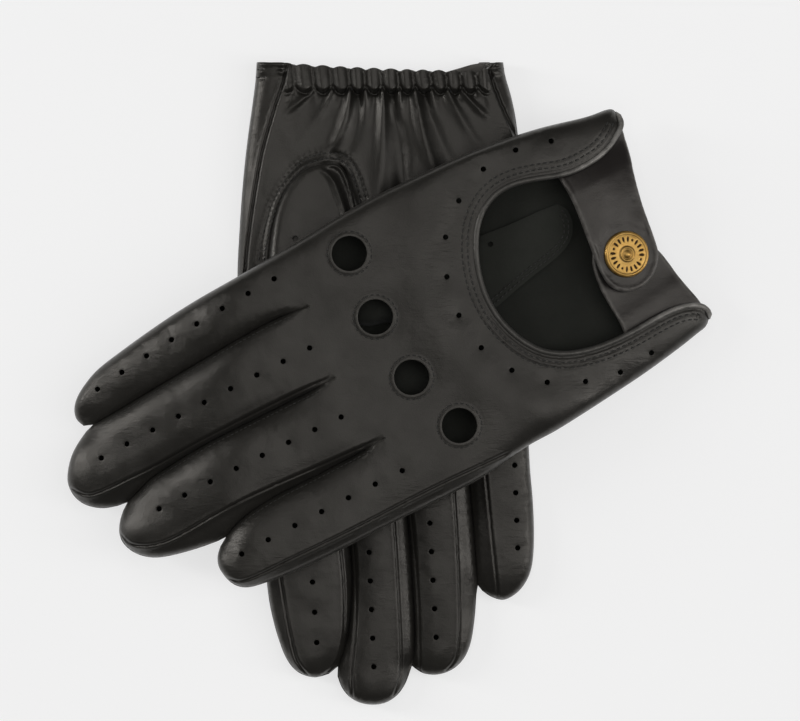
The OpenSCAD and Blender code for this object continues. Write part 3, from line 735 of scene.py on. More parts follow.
def left_up(p):
    """The left glove's back, which faces up."""
    d = distance(p, left.edge)
    h = left.padded_height(p, d)
    z = HALF * h * (1 + 0.1 * smooth(118, 140, p[:, 1]))
    z += back_relief(left, p) + left.base_relief(p) + left.seam_relief(p)
    z += finger_creases(p, 124) + undulation(p, 0.5) * h
    z -= 0.22 * bump(d - 1.3, 0.3) * smooth(112, 126, p[:, 1])
    z -= 0.8 * smooth(7, -2, p[:, 1])
    # the leather swells round the opening and dips at its edge and beyond
    o = distance(p, opening_path)
    round_end = smooth(30, 52, p[:, 1])
    z += round_end * (0.9 * bump(o - 19, 8) - 0.3 * bump(o - 6.5, 4))
    z -= 0.4 * bump(o, 3)
    return z


def left_down(p):
    """The left glove's palm, which faces down; its inside is seen through the holes."""
    d = distance(p, left.edge)
    # the palm leather buckles up under two of the knuckle holes
    (x, y), (u, v) = KNUCKLES[1:3]
    edge = (0.91 * (p[:, 0] - x) - 0.42 * (p[:, 1] - y) + 1.2
            + 0.5 * np.sin(0.5 * (p[:, 1] - y)))
    fold = 5.4 * bump(np.hypot(p[:, 0] - x - 1, p[:, 1] - y), 9) * smooth(-0.7, 0.6, edge)
    fold += 4.0 * bump(np.hypot(p[:, 0] - u, p[:, 1] - v - 2), 8)
    return -HALF * left.padded_height(p, d) + 0.15 * ripple(p, 20, 4.1) + fold


def right_up(p):
    """The right glove's palm, which faces up, without the thumb that lies on it."""
    d = distance(p, right.edge)
    h = right.padded_height(p, d)
    z = HALF * h + right.seam_relief(p) + right.base_relief(p)
    z += hole_relief(p, right.holes) + finger_creases(p, 124)
    # the thumb's two rows of topstitching, and the rolled seam inside them
    t, s = follow(p, thumb_seam)
    z += -0.3 * bump(t, 0.45) + (0.16 + 0.14 * np.sin(s * 2 * math.pi / 1.9)) * bump(t - 1, 0.7)
    e = distance(p, thumb_loop, True)
    roll = 1 - smooth(19, 15, p[:, 0]) * smooth(35, 39, p[:, 1])
    z += roll * ~inside(p, thumb_loop) * (0.5 * bump(e - 1.1, 0.75)
                                          - 0.3 * bump(e - 2.2, 0.4) * (t < 4))
    z += undulation(p, 2.5, 0.28, 0.12) * h
    # the rolled hems where the side strips end at the wrist
    hem = right.beyond_seam("side_index", p) | right.beyond_seam("side_little", p)
    y = p[:, 1]
    z += hem * (y < 12) * (0.7 * bump(y - 0.1, 0.7) - 0.7 * bump(y - 1.3, 0.4)
                           + 0.7 * bump(y - 2.6, 0.8) - 0.7 * bump(y - 4.0, 0.4))
    # soft folds that run down from the gathers, and one beside the thumb
    fold = p[:, 0] + 3.8 + 0.17 * (y - 13) + 1.0 * ripple(p, 22, 5.5)
    z -= 0.9 * bump(fold, 2.4) * smooth(12, 20, y) * smooth(62, 40, y)
    beside = p[:, 0] - 12.5 + 0.42 * (y - 38)
    z -= 1.0 * bump(beside, 2.2) * smooth(24, 34, y) * smooth(60, 46, y)
    return np.minimum(z + gather(p), 7.8)


def right_down(p):
    """The right glove's back, which lies on the floor."""
    d = distance(p, right.edge)
    h = right.padded_height(p, d)
    z = -HALF * h - back_relief(right, p) * 0.6 + 0.12 * (1 + ripple(p, 20, 4.7))
    return np.maximum(z, 0.02 - HALF)


left = Glove("left", Lay(205, (93.5, 57.9), LEFT_LIFT, True),
             LEFT_SIDE, LEFT_VALLEYS, LEFT_TIPS, LEFT_ROWS, LEFT_SEAMS)
right = Glove("right", Lay(270, (-2.6, 110), HALF, False),
              RIGHT_SIDE, RIGHT_VALLEYS, RIGHT_TIPS, RIGHT_ROWS, RIGHT_SEAMS)

# ---- Materials -----------------------------------------------------------------------


def set_inputs(node, values):
    for name, value in values.items():
        node.inputs[name].default_value = value


class Shader:
    """A small helper for node materials."""

    def __init__(self, name, rough):
        self.material = bpy.data.materials.new(name)
        self.material.use_nodes = True
        self.tree = self.material.node_tree
        self.bsdf = self.tree.nodes["Principled BSDF"]
        set_inputs(self.bsdf, {"Roughness": rough})
        self.coords = self.add("ShaderNodeTexCoord").outputs["Object"]

    def add(self, kind, inputs=None, **settings):
        node = self.tree.nodes.new(kind)
        for key, value in settings.items():
            setattr(node, key, value)
        set_inputs(node, inputs or {})
        return node

    def link(self, a, b):
        self.tree.links.new(a, b)

    def noise(self, scale, detail=3.0, rough=0.55, distort=0.0, vector=None):
        node = self.add("ShaderNodeTexNoise", {"Scale": scale, "Detail": detail,
                                               "Roughness": rough, "Distortion": distort})
        self.link(vector or self.coords, node.inputs["Vector"])
        return node.outputs["Fac"]

    def cells(self, scale, feature="DISTANCE_TO_EDGE"):
        node = self.add("ShaderNodeTexVoronoi", {"Scale": scale}, feature=feature)
        self.link(self.coords, node.inputs["Vector"])
        return node.outputs["Distance"]

    def ramp(self, value, *stops):
        node = self.add("ShaderNodeValToRGB")
        band = node.color_ramp
        while len(band.elements) < len(stops):
            band.elements.new(0.5)
        for element, (at, color) in zip(band.elements, stops):
            element.position = at
            element.color = (*color, 1)
        self.link(value, node.inputs["Fac"])
        return node.outputs["Color"]

    def spread(self, value, low, high, from_low=0.0, from_high=1.0):
        node = self.add("ShaderNodeMapRange", {"From Min": from_low, "From Max": from_high,
                                               "To Min": low, "To Max": high})
        self.link(value, node.inputs["Value"])
        return node.outputs["Result"]

    def mix(self, fac, a, b, mode="MIX"):
        node = self.add("ShaderNodeMix", data_type="RGBA", blend_type=mode)
        self.link(fac, node.inputs["Factor"])
        for value, socket in ((a, node.inputs["A"]), (b, node.inputs["B"])):
            if isinstance(value, tuple):
                socket.default_value = (*value, 1)
            else:
                self.link(value, socket)
        return node.outputs["Result"]

    def attribute(self, name):
        return self.add("ShaderNodeAttribute", attribute_name=name).outputs["Fac"]

    def bump(self, *layers):
        """Bump layers as (height, strength, depth in metres), the coarsest first."""
        last = None
        for height, strength, depth in layers:
            node = self.add("ShaderNodeBump", {"Strength": strength, "Distance": depth})
            self.link(height, node.inputs["Height"])
            if last:
                self.link(last, node.inputs["Normal"])
            last = node.outputs["Normal"]
        self.link(last, self.bsdf.inputs["Normal"])


def leather_material(name, dark, light, wear_and_highlight_color, rough):
    """Smooth hair-sheep leather: fine pores, soft clouds of colour, rubbed edges, and painted
    highlights on bindings and strap rims.
    """
    m = Shader(name, rough)
    clouds = m.noise(28.0, 4.0)
    color = m.ramp(clouds, (0.3, dark), (0.72, light))
    pores = m.cells(1500.0)
    color = m.mix(m.spread(pores, 0.35, 0.0, 0.0, 0.12), color, tuple(0.55 * c for c in dark))
    # the wear attribute mixes in the light wear colour: rubbed edges on the glove leather, a
    # painted highlight on bindings and strap rims
    wear_and_highlight_noise = m.noise(260.0, 3.0, 0.7)
    edge = m.spread(m.mix(m.attribute("wear"), (0.0, 0.0, 0.0), m.ramp(wear_and_highlight_noise, (0.3, (0.2,) * 3),
                                                                   (0.8, (1.0,) * 3))), 0, 0.8)
    color = m.mix(edge, color, wear_and_highlight_color)
    m.link(color, m.bsdf.inputs["Base Color"])
    patches = m.noise(75.0, 3.0)
    m.link(m.spread(patches, rough - 0.05, rough + 0.07, 0.3, 0.7), m.bsdf.inputs["Roughness"])
    set_inputs(m.bsdf, {"Specular IOR Level": 0.5, "Specular Tint": (1.0, 0.95, 0.88, 1),
                        "Sheen Weight": 0.03, "Sheen Roughness": 0.45})
    # fine wrinkles, drawn out one way, that come and go
    turn = m.add("ShaderNodeMapping", {"Rotation": (0, 0, math.radians(-35)),
                                       "Scale": (1, 4.5, 1)})
    m.link(m.coords, turn.inputs["Vector"])
    wrinkles = m.noise(190.0, 3.0, 0.55, 0.8, turn.outputs["Vector"])
    where = m.spread(m.noise(26.0, 2.0), 0.0, 1.0, 0.46, 0.62)
    wrinkles = m.mix(where, (0.5, 0.5, 0.5), wrinkles)
    m.bump((m.noise(330.0, 3.0), 0.3, 0.00025), (wrinkles, 0.3, 0.00035), (pores, 0.3, 0.00008))
    return m.material


def suede_material(name, dark, light):
    m = Shader(name, 0.92)
    nap = m.noise(900.0, 4.0, 0.7)
    clouds = m.noise(45.0, 3.0)
    color = m.mix(m.spread(nap, 0.1, 0.6), m.ramp(clouds, (0.3, dark), (0.7, light)), dark)
    m.link(color, m.bsdf.inputs["Base Color"])
    m.link(m.spread(nap, 0.85, 0.98), m.bsdf.inputs["Roughness"])
    set_inputs(m.bsdf, {"Specular IOR Level": 0.15, "Sheen Weight": 0.12})
    m.bump((nap, 0.5, 0.00015))
    return m.material


def thread_material(name, base):
    m = Shader(name, 0.62)
    twist = m.noise(1800.0, 2.0)
    m.link(m.ramp(twist, (0.3, tuple(0.6 * c for c in base)), (0.7, base)),
           m.bsdf.inputs["Base Color"])
    m.link(m.spread(twist, 0.5, 0.72), m.bsdf.inputs["Roughness"])
    m.bump((twist, 0.4, 0.0001))
    return m.material


def elastic_material(name, base):
    m = Shader(name, 0.8)
    weave = m.cells(950.0, "F1")
    clouds = m.noise(60.0)
    m.link(m.mix(m.spread(weave, 0.0, 1.0, 0.1, 0.7), tuple(1.5 * c for c in base), base),
           m.bsdf.inputs["Base Color"])
    m.link(m.spread(clouds, 0.72, 0.88), m.bsdf.inputs["Roughness"])
    m.bump((weave, 0.6, 0.0002))
    return m.material


def brass_material(name):
    """Antique brass: tarnish gathers in the hollows, the high parts are rubbed bright."""
    m = Shader(name, 0.34)
    tarnish = m.attribute("wear")
    clouds = m.noise(420.0, 4.0, 0.65)
    bright = m.ramp(clouds, (0.3, (0.36, 0.20, 0.05)), (0.7, (0.58, 0.36, 0.11)))
    color = m.mix(m.spread(tarnish, 0.0, 1.0, 0.1, 0.8), bright, (0.035, 0.02, 0.01))
    m.link(color, m.bsdf.inputs["Base Color"])
    m.link(m.spread(clouds, 0.27, 0.46, 0.3, 0.7), m.bsdf.inputs["Roughness"])
    set_inputs(m.bsdf, {"Metallic": 0.92})
    m.bump((m.noise(1500.0, 3.0), 0.15, 0.00006))
    return m.material


glove_leather = leather_material("glove_leather", (0.0085, 0.0079, 0.0066),
                                 (0.0140, 0.0130, 0.0110), (0.060, 0.057, 0.050), 0.35)
# the strap leather's light wear colour is a painted highlight along the rims of the strap, the
# under-tab and the sewn end
strap_leather = leather_material("strap_leather", (0.0112, 0.0092, 0.0086),
                                 (0.0172, 0.0143, 0.0134), (0.26, 0.245, 0.225), 0.34)
# the binding is painted lighter than the glove leather, a painted highlight along the bound edge,
# and its light wear colour is a painted highlight on the crest
bound_edge = leather_material("bound_edge", (0.018, 0.0175, 0.0155), (0.028, 0.027, 0.024),
                              (0.46, 0.44, 0.41), 0.33)
suede_inside = suede_material("suede_inside", (0.017, 0.0178, 0.015), (0.030, 0.031, 0.0265))
seat_suede = suede_material("seat_suede", (0.024, 0.025, 0.021), (0.038, 0.039, 0.034))
stitching = thread_material("stitching", (0.024, 0.023, 0.020))
elastic = elastic_material("elastic", (0.012, 0.012, 0.012))
antique_brass = brass_material("antique_brass")

# ---- Building the pieces -----------------------------------------------------------


def ride_mesh(piece, body, material, inner=None, replaces=()):
    """Makes a piece that moves with one body, in place of the CAD nodes in replaces."""
    obj = piece.make(material, inner)
    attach(obj, body)
    if replaces:
        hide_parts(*replaces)
    return obj


def blend_mesh(piece, bodies, start, end, slot, material, inner=None, replaces=()):
    """Makes a piece fixed in the scene, in place of the CAD nodes in replaces."""
    obj = piece.make(material, inner)
    tuple(start)
    tuple(end)
    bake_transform(obj)
    if replaces:
        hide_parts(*replaces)
    return obj


def surface(glove, surf, xy):
    """Scene points on a glove's surface. Where two fingers meet, their sides press together."""
    z = surf(xy)
    xy = np.array(xy, float)
    for v in glove.valleys:
        x = np.interp(xy[:, 1], v[:, 1], v[:, 0])
        press = 0.2 * smooth(v[0, 1] + 0.5, v[0, 1] + 5, xy[:, 1]) * (xy[:, 1] < v[-1, 1] + 1)
        xy[:, 0] -= np.sign(xy[:, 0] - x) * press * bump(distance(xy, v), 0.9)
    return glove.lay(np.column_stack([xy, z]))


def feature_lines(glove, back):
    """Lines a sheet's triangles follow, so that grooves and creases stay crisp."""
    lines = []
    for seam in glove.seams.values():
        lines += [offset_path(seam, by) for by in (0, 0.4, -0.4, 0.85, -0.85, 1.35, -1.35)]
    if back:
        for by in (1.3, 1.8, 2.3, 2.9, 3.5, 4.2, 4.8, 5.4):
            lines.append(offset_path(opening_path, -by))
    return lines


def cuff_line(x_from, x_to, level, scallop):
    """The palm's wrist edge, scalloped by the gathers: a notch where each fold starts."""
    x = np.linspace(x_from, x_to, 160)
    a, b, c, d = GATHER_ENDS
    across = smooth(a, b, x) * smooth(d, c, x)
    return np.column_stack([x, level(x) + scallop * across
                            * (0.5 - np.abs(np.sin(math.pi * gather_turn(x))))])


def right_cuff(x):
    """How far up the hand the right palm's wrist edge runs."""
    return np.interp(x, [-43, -39.5, -37, -33, -28, -10, 10, 28, 33, 43],
                     [-1, -0.8, 1.6, 2.6, 2.6, 2.1, 1.3, 0.2, -0.6, -1])


def left_cuff(x):
    """How far up the hand the left palm's wrist edge runs."""
    return np.interp(x, [-41, -36, -28, -16, 0, 14, 26, 34, 40],
                     [-0.4, 0.8, 3.6, 6.2, 7.4, 6.4, 3.6, 1, -0.8])


def punched(points):
    """Round perforations at the points."""
    return [ring(p, HOLE_R, HOLE_SIDES) for p in points]


def facing(triangles, up):
    """The triangles, turned over for a sheet that faces down."""
    return triangles if up else triangles[:, ::-1]


back_loop = opening_path[::-1]
left_rim = np.concatenate([left.edge, back_loop])
left_palm_rim = np.concatenate([left.edge, cuff_line(-37.6, 36.6, left_cuff, 0.6)])
right_rim = np.concatenate([right.edge, cuff_line(-41.8, 41.8, right_cuff, 0.9)])
right_back_rim = np.concatenate([right.edge, back_loop])
knuckle_rings = [ring(k, KNUCKLE_R, KNUCKLE_SIDES) for k in KNUCKLES]
# Where each finger's leather is cut from the hand's, and where its finger span ends
SPLITS = {"left": (CROTCH_SPLIT,) * 4, "right": tuple(b - BEND_REACH for b in BENDS)}
BLEND_ENDS = {"left": (CROTCH_BLEND,) * 4, "right": tuple(b + BEND_REACH for b in BENDS)}


def edge_wear(glove, p, holes):
    """Where hands rub: the rolled edges, the knuckle holes and the opening."""
    w = 0.5 * bump(distance(p, glove.edge), 1.6)
    for loop in holes:
        w = np.maximum(w, 0.8 * bump(distance(p, loop, True), 0.8))
    return w


def side_strip(glove, c):
    """The parts of the right glove's sides that its back leather wraps round."""
    return np.any([glove.beyond_seam(name, c) & (c[:, 1] < glove.seams[name][:, 1].max())
                   for name in ("side_index", "side_little")], axis=0)


pieces = {}


def piece(name):
    """The piece of that name, new if it isn't there yet."""
    if name not in pieces:
        pieces[name] = Piece(name)
    return pieces[name]


def add_sheet(glove, face, surf, rim, holes, dots, lines, up, spacing, dense=()):
    """One side of a glove, cut into its hand panel, finger panels and side strips.

    face is the panel that most of the sheet belongs to: back or palm."""
    v, t = triangulate(rim, holes, punched(dots), lines, spacing, dense=dense)
    points = surface(glove, surf, v)
    t = facing(t, up)
    normals = vertex_normals(points, t)
    wear = edge_wear(glove, v, holes)
    c = v[t].mean(1)
    k = glove.finger(c)
    beyond = c[:, 1] > np.array(SPLITS[glove.name])[k]
    strip = np.zeros(len(c), bool)
    for name, seam in glove.seams.items():
        if not name.startswith("side"):
            finger = NAMES.index(name.split("_")[0])
            strip |= (k == finger) & glove.beyond_seam(name, c) & (c[:, 1] < seam[:, 1].max())
    if (glove.name == "left") != up:    # the side that is hidden has plain strips
        strip = distance(c, glove.edge) < 3.2
    finger_part = "back" if face == "back" else "front"
    hand = ~beyond
    other = np.zeros(len(c), bool)
    if glove.name == "right" and face == "palm":
        other = hand & side_strip(glove, c)
    if glove.name == "left" and face == "back":
        other = hand & strip & (c[:, 0] < -30)
    roots = hand & strip & (c[:, 1] > 128) & (glove.name == "right")
    target = "back" if face == "palm" else "palm"
    for mask, name in ((hand & ~other & ~roots, face), (other & ~roots, target),
                       (roots, "fourchette_roots")):
        if mask.any():
            piece(f"{glove.name}_{name}").shell(points, normals, t[mask], LEATHER, wear)
    for i, finger in enumerate(NAMES):
        mine = beyond & (k == i)
        for mask, name in ((mine & ~strip, finger_part), (mine & strip, "fourchettes")):
            if mask.any():
                piece(f"{glove.name}_{finger}_{name}").shell(points, normals, t[mask],
                                                             LEATHER, wear)


add_sheet(left, "back", left_up, left_rim, knuckle_rings, [*left.holes, *OPENING_HOLES],
          feature_lines(left, True), True, FINE)
add_sheet(left, "palm", left_down, left_palm_rim, (), (), (), False, COARSE,
          ((-3, 20, 92, 114, 0.9),))
add_sheet(right, "palm", right_up, right_rim, (), right.holes, feature_lines(right, False),
          True, FINE, ((-39.5, 34.5, -2, 15, 0.6), (-40, 34.5, 15, 30, 0.95),
                       (3, 44, 30, 70, 0.75), (-24, 3, 30, 46, 1.05)))
add_sheet(right, "back", right_down, right_back_rim, knuckle_rings, OPENING_HOLES, (),
          False, COARSE)


def finger_span(glove, i):
    """Two points on a finger's middle line, in the scene: where its leather is cut from the hand's,
    and where its span ends.
    """
    return [tuple(glove.lay([FINGER_X[glove.name][i], y, 0])[0])
            for y in (SPLITS[glove.name][i], BLEND_ENDS[glove.name][i])]


for glove in (left, right):
    hand = f"{glove.name}_hand"
    for part in ("back", "palm"):
        ride_mesh(pieces[f"{glove.name}_{part}"], hand, glove_leather,
                  suede_inside, [f"{glove.name}_{part}_panel"])
    for i, finger in enumerate(NAMES):
        for part in ("back", "front", "fourchettes"):
            name = f"{glove.name}_{finger}_{part}"
            blend_mesh(pieces[name], (hand, f"{glove.name}_{finger}"), *finger_span(glove, i),
                       "glove_leather", glove_leather, suede_inside, [name])
ride_mesh(pieces["right_fourchette_roots"], "right_hand", glove_leather,
          suede_inside, ["right_fourchette_roots"])

# ---- Small shapes ------------------------------------------------------------------


def tube(target, center, radii, wear, count=14):
    """A soft tube along a path of world points; radii are across and up, in millimetres."""
    p = np.array(center, float)
    n = len(p)
    d = np.gradient(p, axis=0)
    d /= np.linalg.norm(d, axis=1)[:, None]
    reach = np.concatenate([[0], np.cumsum(np.linalg.norm(np.diff(p, axis=0), axis=1))]) / MM
    ends = np.sqrt(np.clip(np.minimum(reach, reach[-1] - reach) / 1.2, 0.15, 1))
    size = MM * ends[:, None, None]
    side = np.cross(d, [0, 0, 1.0])
    side /= np.linalg.norm(side, axis=1)[:, None]
    up = np.cross(side, d)
    a = np.arange(count) * 2 * math.pi / count
    rings = (p[:, None] + size * (radii[0] * np.cos(a)[None, :, None] * side[:, None]
                                  + radii[1] * np.sin(a)[None, :, None] * up[:, None]))
    points = np.concatenate([rings.reshape(-1, 3), p[:1], p[-1:]])
    faces = []
    for j in range(count):
        k = (j + 1) % count
        for i in range(0, (n - 1) * count, count):
            faces += [[i + j, i + count + k, i + k], [i + j, i + count + j, i + count + k]]
        faces += [[n * count, j, k], [n * count + 1, (n - 1) * count + k, (n - 1) * count + j]]
    # only the crest of the roll gets the light wear colour, a painted highlight
    shade = np.repeat(wear, count) * np.tile(np.clip(np.sin(a), 0, 1) ** 2, n)
    target.solid(points, np.array(faces), np.append(shade, [shade[0], shade[-1]]))


def capsules(target, centers, along_dirs, ups, length, radius):
    """Many short threads, each lying along its direction."""
    rings = ((-0.5, 0.0), (-0.36, 0.8), (0.0, 1.0), (0.36, 0.8), (0.5, 0.0))
    count = 6
    for c, d, u in zip(centers, along_dirs, ups):
        side = np.cross(d, u)
        pts, faces = [], []
        for t, r in rings:
            if r == 0:
                pts.append(c + d * t * length * MM)
                continue
            for j in range(count):
                a = 2 * math.pi * j / count
                pts.append(c + (d * t * length
                                + (side * math.cos(a) + u * math.sin(a)) * r * radius) * MM)
        for j in range(count):
            k = (j + 1) % count
            faces.append([0, 1 + k, 1 + j])
            for level in range(2):
                a, b = 1 + level * count, 1 + (level + 1) * count
                faces += [[a + j, a + k, b + k], [a + j, b + k, b + j]]
            faces.append([len(pts) - 1, 1 + 2 * count + j, 1 + 2 * count + k])
        target.solid(np.array(pts), faces)


def stitch(target, glove, surf, path, pitch=2.2, length=1.6, radius=0.26, sink=0.1, face=1):
    """A row of stitches along a hand-frame path on a surface."""
    at, d = along(path, pitch, pitch / 2)
    step = 0.3
    base = surface(glove, surf, at)
    ahead = surface(glove, surf, at + d * step) - base
    side = surface(glove, surf, at + np.stack([-d[:, 1], d[:, 0]], 1) * step) - base
    up = np.cross(ahead, side)
    up /= np.linalg.norm(up, axis=1)[:, None]
    ahead /= np.linalg.norm(ahead, axis=1)[:, None]
    capsules(target, base + up * face * sink * MM, ahead, up, length, radius)


def puff(target, place, outline, top, low, spacing=1.4, rows=(0.15, 0.45, 0.9, 1.6)):
    """A closed padded plate over an outline, its two faces meeting along a rounded rim."""
    v, t = triangulate(outline, spacing=spacing, rows=rows)
    d = distance(v, outline, True)
    rim = d < 1e-4
    zt, zl = top(v, d), low(v, d)
    zt = np.where(rim, (zt + zl) / 2, zt)
    n = len(v)
    lower = np.where(rim, np.arange(n), n + np.cumsum(~rim) - 1)
    points = np.concatenate([place(np.column_stack([v, zt])),
                             place(np.column_stack([v[~rim], zl[~rim]]))])
    faces = np.concatenate([t, lower[t][:, ::-1]])
    # the rim is marked for a painted highlight, shown in the strap leather's light wear colour
    w = 0.75 * bump(d - 0.35, 0.7)
    target.solid(points, faces, np.concatenate([w, w[~rim]]))


def inlay(target, glove, surf, outline, depth, thickness, up, spacing=1.8):
    """A strip that lies against the inner face of the leather."""
    v, t = triangulate(outline, spacing=spacing, rows=(0.4,))
    sign = 1 if up else -1
    points = glove.lay(np.column_stack([v, surf(v) - sign * depth]))
    t = facing(t, up)
    target.shell(points, vertex_normals(points, t), t, thickness)


def box_outline(x0, x1, y0, y1, step=2.0):
    corners = [(x0, y0), (x1, y0), (x1, y1), (x0, y1)]
    out = []
    for a, b in zip(corners, corners[1:] + corners[:1]):
        a, b = np.array(a, float), np.array(b, float)
        n = max(1, int(np.linalg.norm(b - a) / step))
        out += [a + (b - a) * k / n for k in range(n)]
    return np.array(out)


def stiff(glove, face):
    """Places points given round the snap, on the glove's back, turned as one piece."""
    here, axes = glove.lay.axes_at(SNAP)
    middle = [*SNAP, SNAP_DROPS[glove.name]]

    def place(points):
        p = np.atleast_2d(points)
        rel = p - middle
        return (here + rel[:, :1] * axes[0] + rel[:, 1:2] * axes[1]
                + face * rel[:, 2:3] * axes[2]) * MM
    return place


def lathe(target, place, profile, relief, count=216):
    """A turned piece round the snap's axis: profile is (radius, height) from the centre out
    and back to the centre. relief(r, angle, z) gives a height to add and a tarnish."""
    pts, shade = [], []
    for r, z in profile:
        for j in range(count if r > 0 else 1):
            a = 2 * math.pi * j / count
            dz, dark = relief(r, a, z)
            pts.append((SNAP[0] + r * math.cos(a), SNAP[1] + r * math.sin(a), z + dz))
            shade.append(dark)
    starts = np.cumsum([0] + [count if r > 0 else 1 for r, z in profile])
    faces = []
    for i in range(len(profile) - 1):
        a0, b0 = starts[i], starts[i + 1]
        na, nb = starts[i + 1] - a0, starts[i + 2] - b0
        for j in range(count):
            k = (j + 1) % count
            if na == 1 and nb > 1:
                faces.append([a0, b0 + j, b0 + k])
            elif nb == 1 and na > 1:
                faces.append([a0 + j, b0, a0 + k])
            elif na > 1:
                faces += [[a0 + j, b0 + j, b0 + k], [a0 + j, b0 + k, a0 + k]]
    points = place(np.array(pts))
    faces = np.array(faces)
    a, b, c = (points[faces[:, k]] for k in range(3))
    volume = np.einsum("ij,ij->i", a - points.mean(0),
                       np.cross(b - points.mean(0), c - points.mean(0))).sum()
    if volume < 0:
        faces = faces[:, ::-1]
    target.solid(points, faces, np.array(shade))


# ---- Bound edges, facings, elastic and hems -----------------------------------------

bound_path = np.concatenate([[(38.6, -1.0), (37, -1.25)], opening_path,
                             [(-37.6, -1.1), (-39, -0.6)]])


def sewn_parts(glove, back_surf, palm_surf, back_up):
    """Binding, knuckle facings, elastic band and wrist hem of one glove."""
    side = glove.name
    hand = f"{side}_hand"
    face = 1 if back_up else -1
    # the folded binding round the opening and the ends of its two lobes; the lower
    # glove's is thinner and sits deeper, so that it stays above the floor
    binding = Piece(f"{side}_binding")
    path = np.column_stack([bound_path[:, 0],
                            np.maximum(bound_path[:, 1], -2 if side == "left" else -0.3)])
    at = np.column_stack([path, back_surf(path) - face * (0.2 if back_up else 0.5)])
    # the binding's light colour is a painted highlight, strongest on the two lobes at the wrist
    tube(binding, glove.lay(at), (1.0, 0.85 if back_up else 0.6),
         0.16 + 0.84 * smooth(34, 12, path[:, 1]))
    ride_mesh(binding, hand, bound_edge, replaces=[f"{side}_opening_binding"])
    facings = Piece(f"{side}_facings")
    for k in KNUCKLES:
        v, t = triangulate(ring(k, KNUCKLE_R + FACING_WIDTH, KNUCKLE_SIDES),
                           [ring(k, KNUCKLE_R + 0.25, KNUCKLE_SIDES)], spacing=1.4, rows=())
        points = glove.lay(np.column_stack([v, back_surf(v) - face * (LEATHER + 0.35)]))
        t = facing(t, back_up)
        facings.shell(points, vertex_normals(points, t), t, 0.5)
    ride_mesh(facings, hand, suede_inside,
              replaces=[f"{side}_knuckle_facings"])
    band = Piece(f"{side}_elastic")
    inlay(band, glove, palm_surf, box_outline(-29, 29, 7.6, 12.4), LEATHER + 0.3, 0.6,
          not back_up, 1.2)
    ride_mesh(band, hand, elastic, replaces=[f"{side}_elastic_band"])
    hem = Piece(f"{side}_hem")
    level = right_cuff if side == "right" else left_cuff
    x = np.linspace(-31, 31, 40)
    outline = np.concatenate([np.column_stack([x, level(x) + 1.6]),
                              np.column_stack([x, level(x) + 5])[::-1]])
    outline[:, 1] = np.minimum(outline[:, 1], 7.2 + (outline[:, 1] - level(outline[:, 0])) * 0.05)
    inlay(hem, glove, palm_surf, outline, LEATHER + 0.2, 0.5, not back_up, 1.6)
    ride_mesh(hem, hand, suede_inside, replaces=[f"{side}_cuff_hem"])


sewn_parts(left, left_up, left_down, True)
sewn_parts(right, right_down, right_up, False)

# ---- Thumbs --------------------------------------------------------------------------


def swell(d, height, reach):
    """A rounded rise up to height, with distance d from an edge."""
    return height * np.sqrt(np.clip(1 - np.exp(-d / reach) ** 2, 0, 1))


def right_thumb_up(p):
    """The right thumb's outer leather, always above the palm that it lies on."""
    d = distance(p, thumb_loop, True)
    z = HALF - 0.5 + swell(d, 1, 1.6) * (2.5 + 4.2 * smooth(40, 80, p[:, 1]))
    fade = smooth(0.2, 2.0, d) * smooth(70, 56, p[:, 1])
    # a ridge that faces outwards, and the smooth hollow behind it
    across = p[:, 0] - np.interp(p[:, 1], thumb_ridge[:, 1], thumb_ridge[:, 0])
    ridge = np.where(across > 0, smooth(2.4, 0.2, across), smooth(-1.0, 0, across))
    z += fade * (1.25 * ridge * smooth(35, 38.5, p[:, 1])
                 - 1.8 * bump(distance(p, thumb_hollow), 2.0))
    z += undulation(p, 6.5, 0.2, 0.06) * smooth(0, 3, d) + hole_relief(p, THUMB_HOLES)
    behind = smooth(-0.5, -1.8, across) * smooth(35, 38, p[:, 1])
    floor = right_up(p) + (1.1 - 0.7 * behind) * smooth(0.3, 1.6, d)
    return 0.5 * (z + floor + np.sqrt((z - floor) ** 2 + 0.3 * smooth(0.3, 1.6, d)))


def left_thumb_down(p):
    """The left thumb, hidden under its palm."""
    d = distance(p, left_thumb_loop, True)
    return -HALF + 0.3 - swell(d, 7.2, 3.8)


thumb_ridge = spline(THUMB_RIDGE)
thumb_hollow = spline(THUMB_HOLLOW)
left_thumb_loop = spline(LEFT_THUMB, closed=True)


def thumb(glove, surf, under, loop, dots, up):
    """A thumb sewn on the palm: its outer leather, and the inner leather that faces it."""
    outer = Piece(f"{glove.name}_thumb_outer")
    lines, dense = (), ()
    if up:
        lines = [thumb_ridge, offset_path(thumb_ridge, 0.6), offset_path(thumb_ridge, -0.6)]
        dense = ((4, 26, 33, 60, 0.7),)
    v, t = triangulate(loop, (), punched(dots), lines, 1.4 if up else 2.4, dense=dense)
    points = surface(glove, surf, v)
    t = facing(t, up)
    wear = 0.4 * bump(distance(v, loop, True), 1.0)
    outer.shell(points, vertex_normals(points, t), t, LEATHER, wear)
    ride_mesh(outer, f"{glove.name}_hand", glove_leather, suede_inside,
              [f"{glove.name}_thumb_outer"])
    inner = Piece(f"{glove.name}_thumb_inner")
    v, t = triangulate(loop, spacing=2.4)
    d = distance(v, loop, True)
    sign = 1 if up else -1
    lift = 0.12 * smooth(0, 3, d) + 0.05
    points = glove.lay(np.column_stack([v, under(v) + sign * lift]))
    t = facing(t, up)
    inner.shell(points, vertex_normals(points, t), t, 0.5)
    ride_mesh(inner, f"{glove.name}_hand", glove_leather, suede_inside,
              [f"{glove.name}_thumb_inner"])


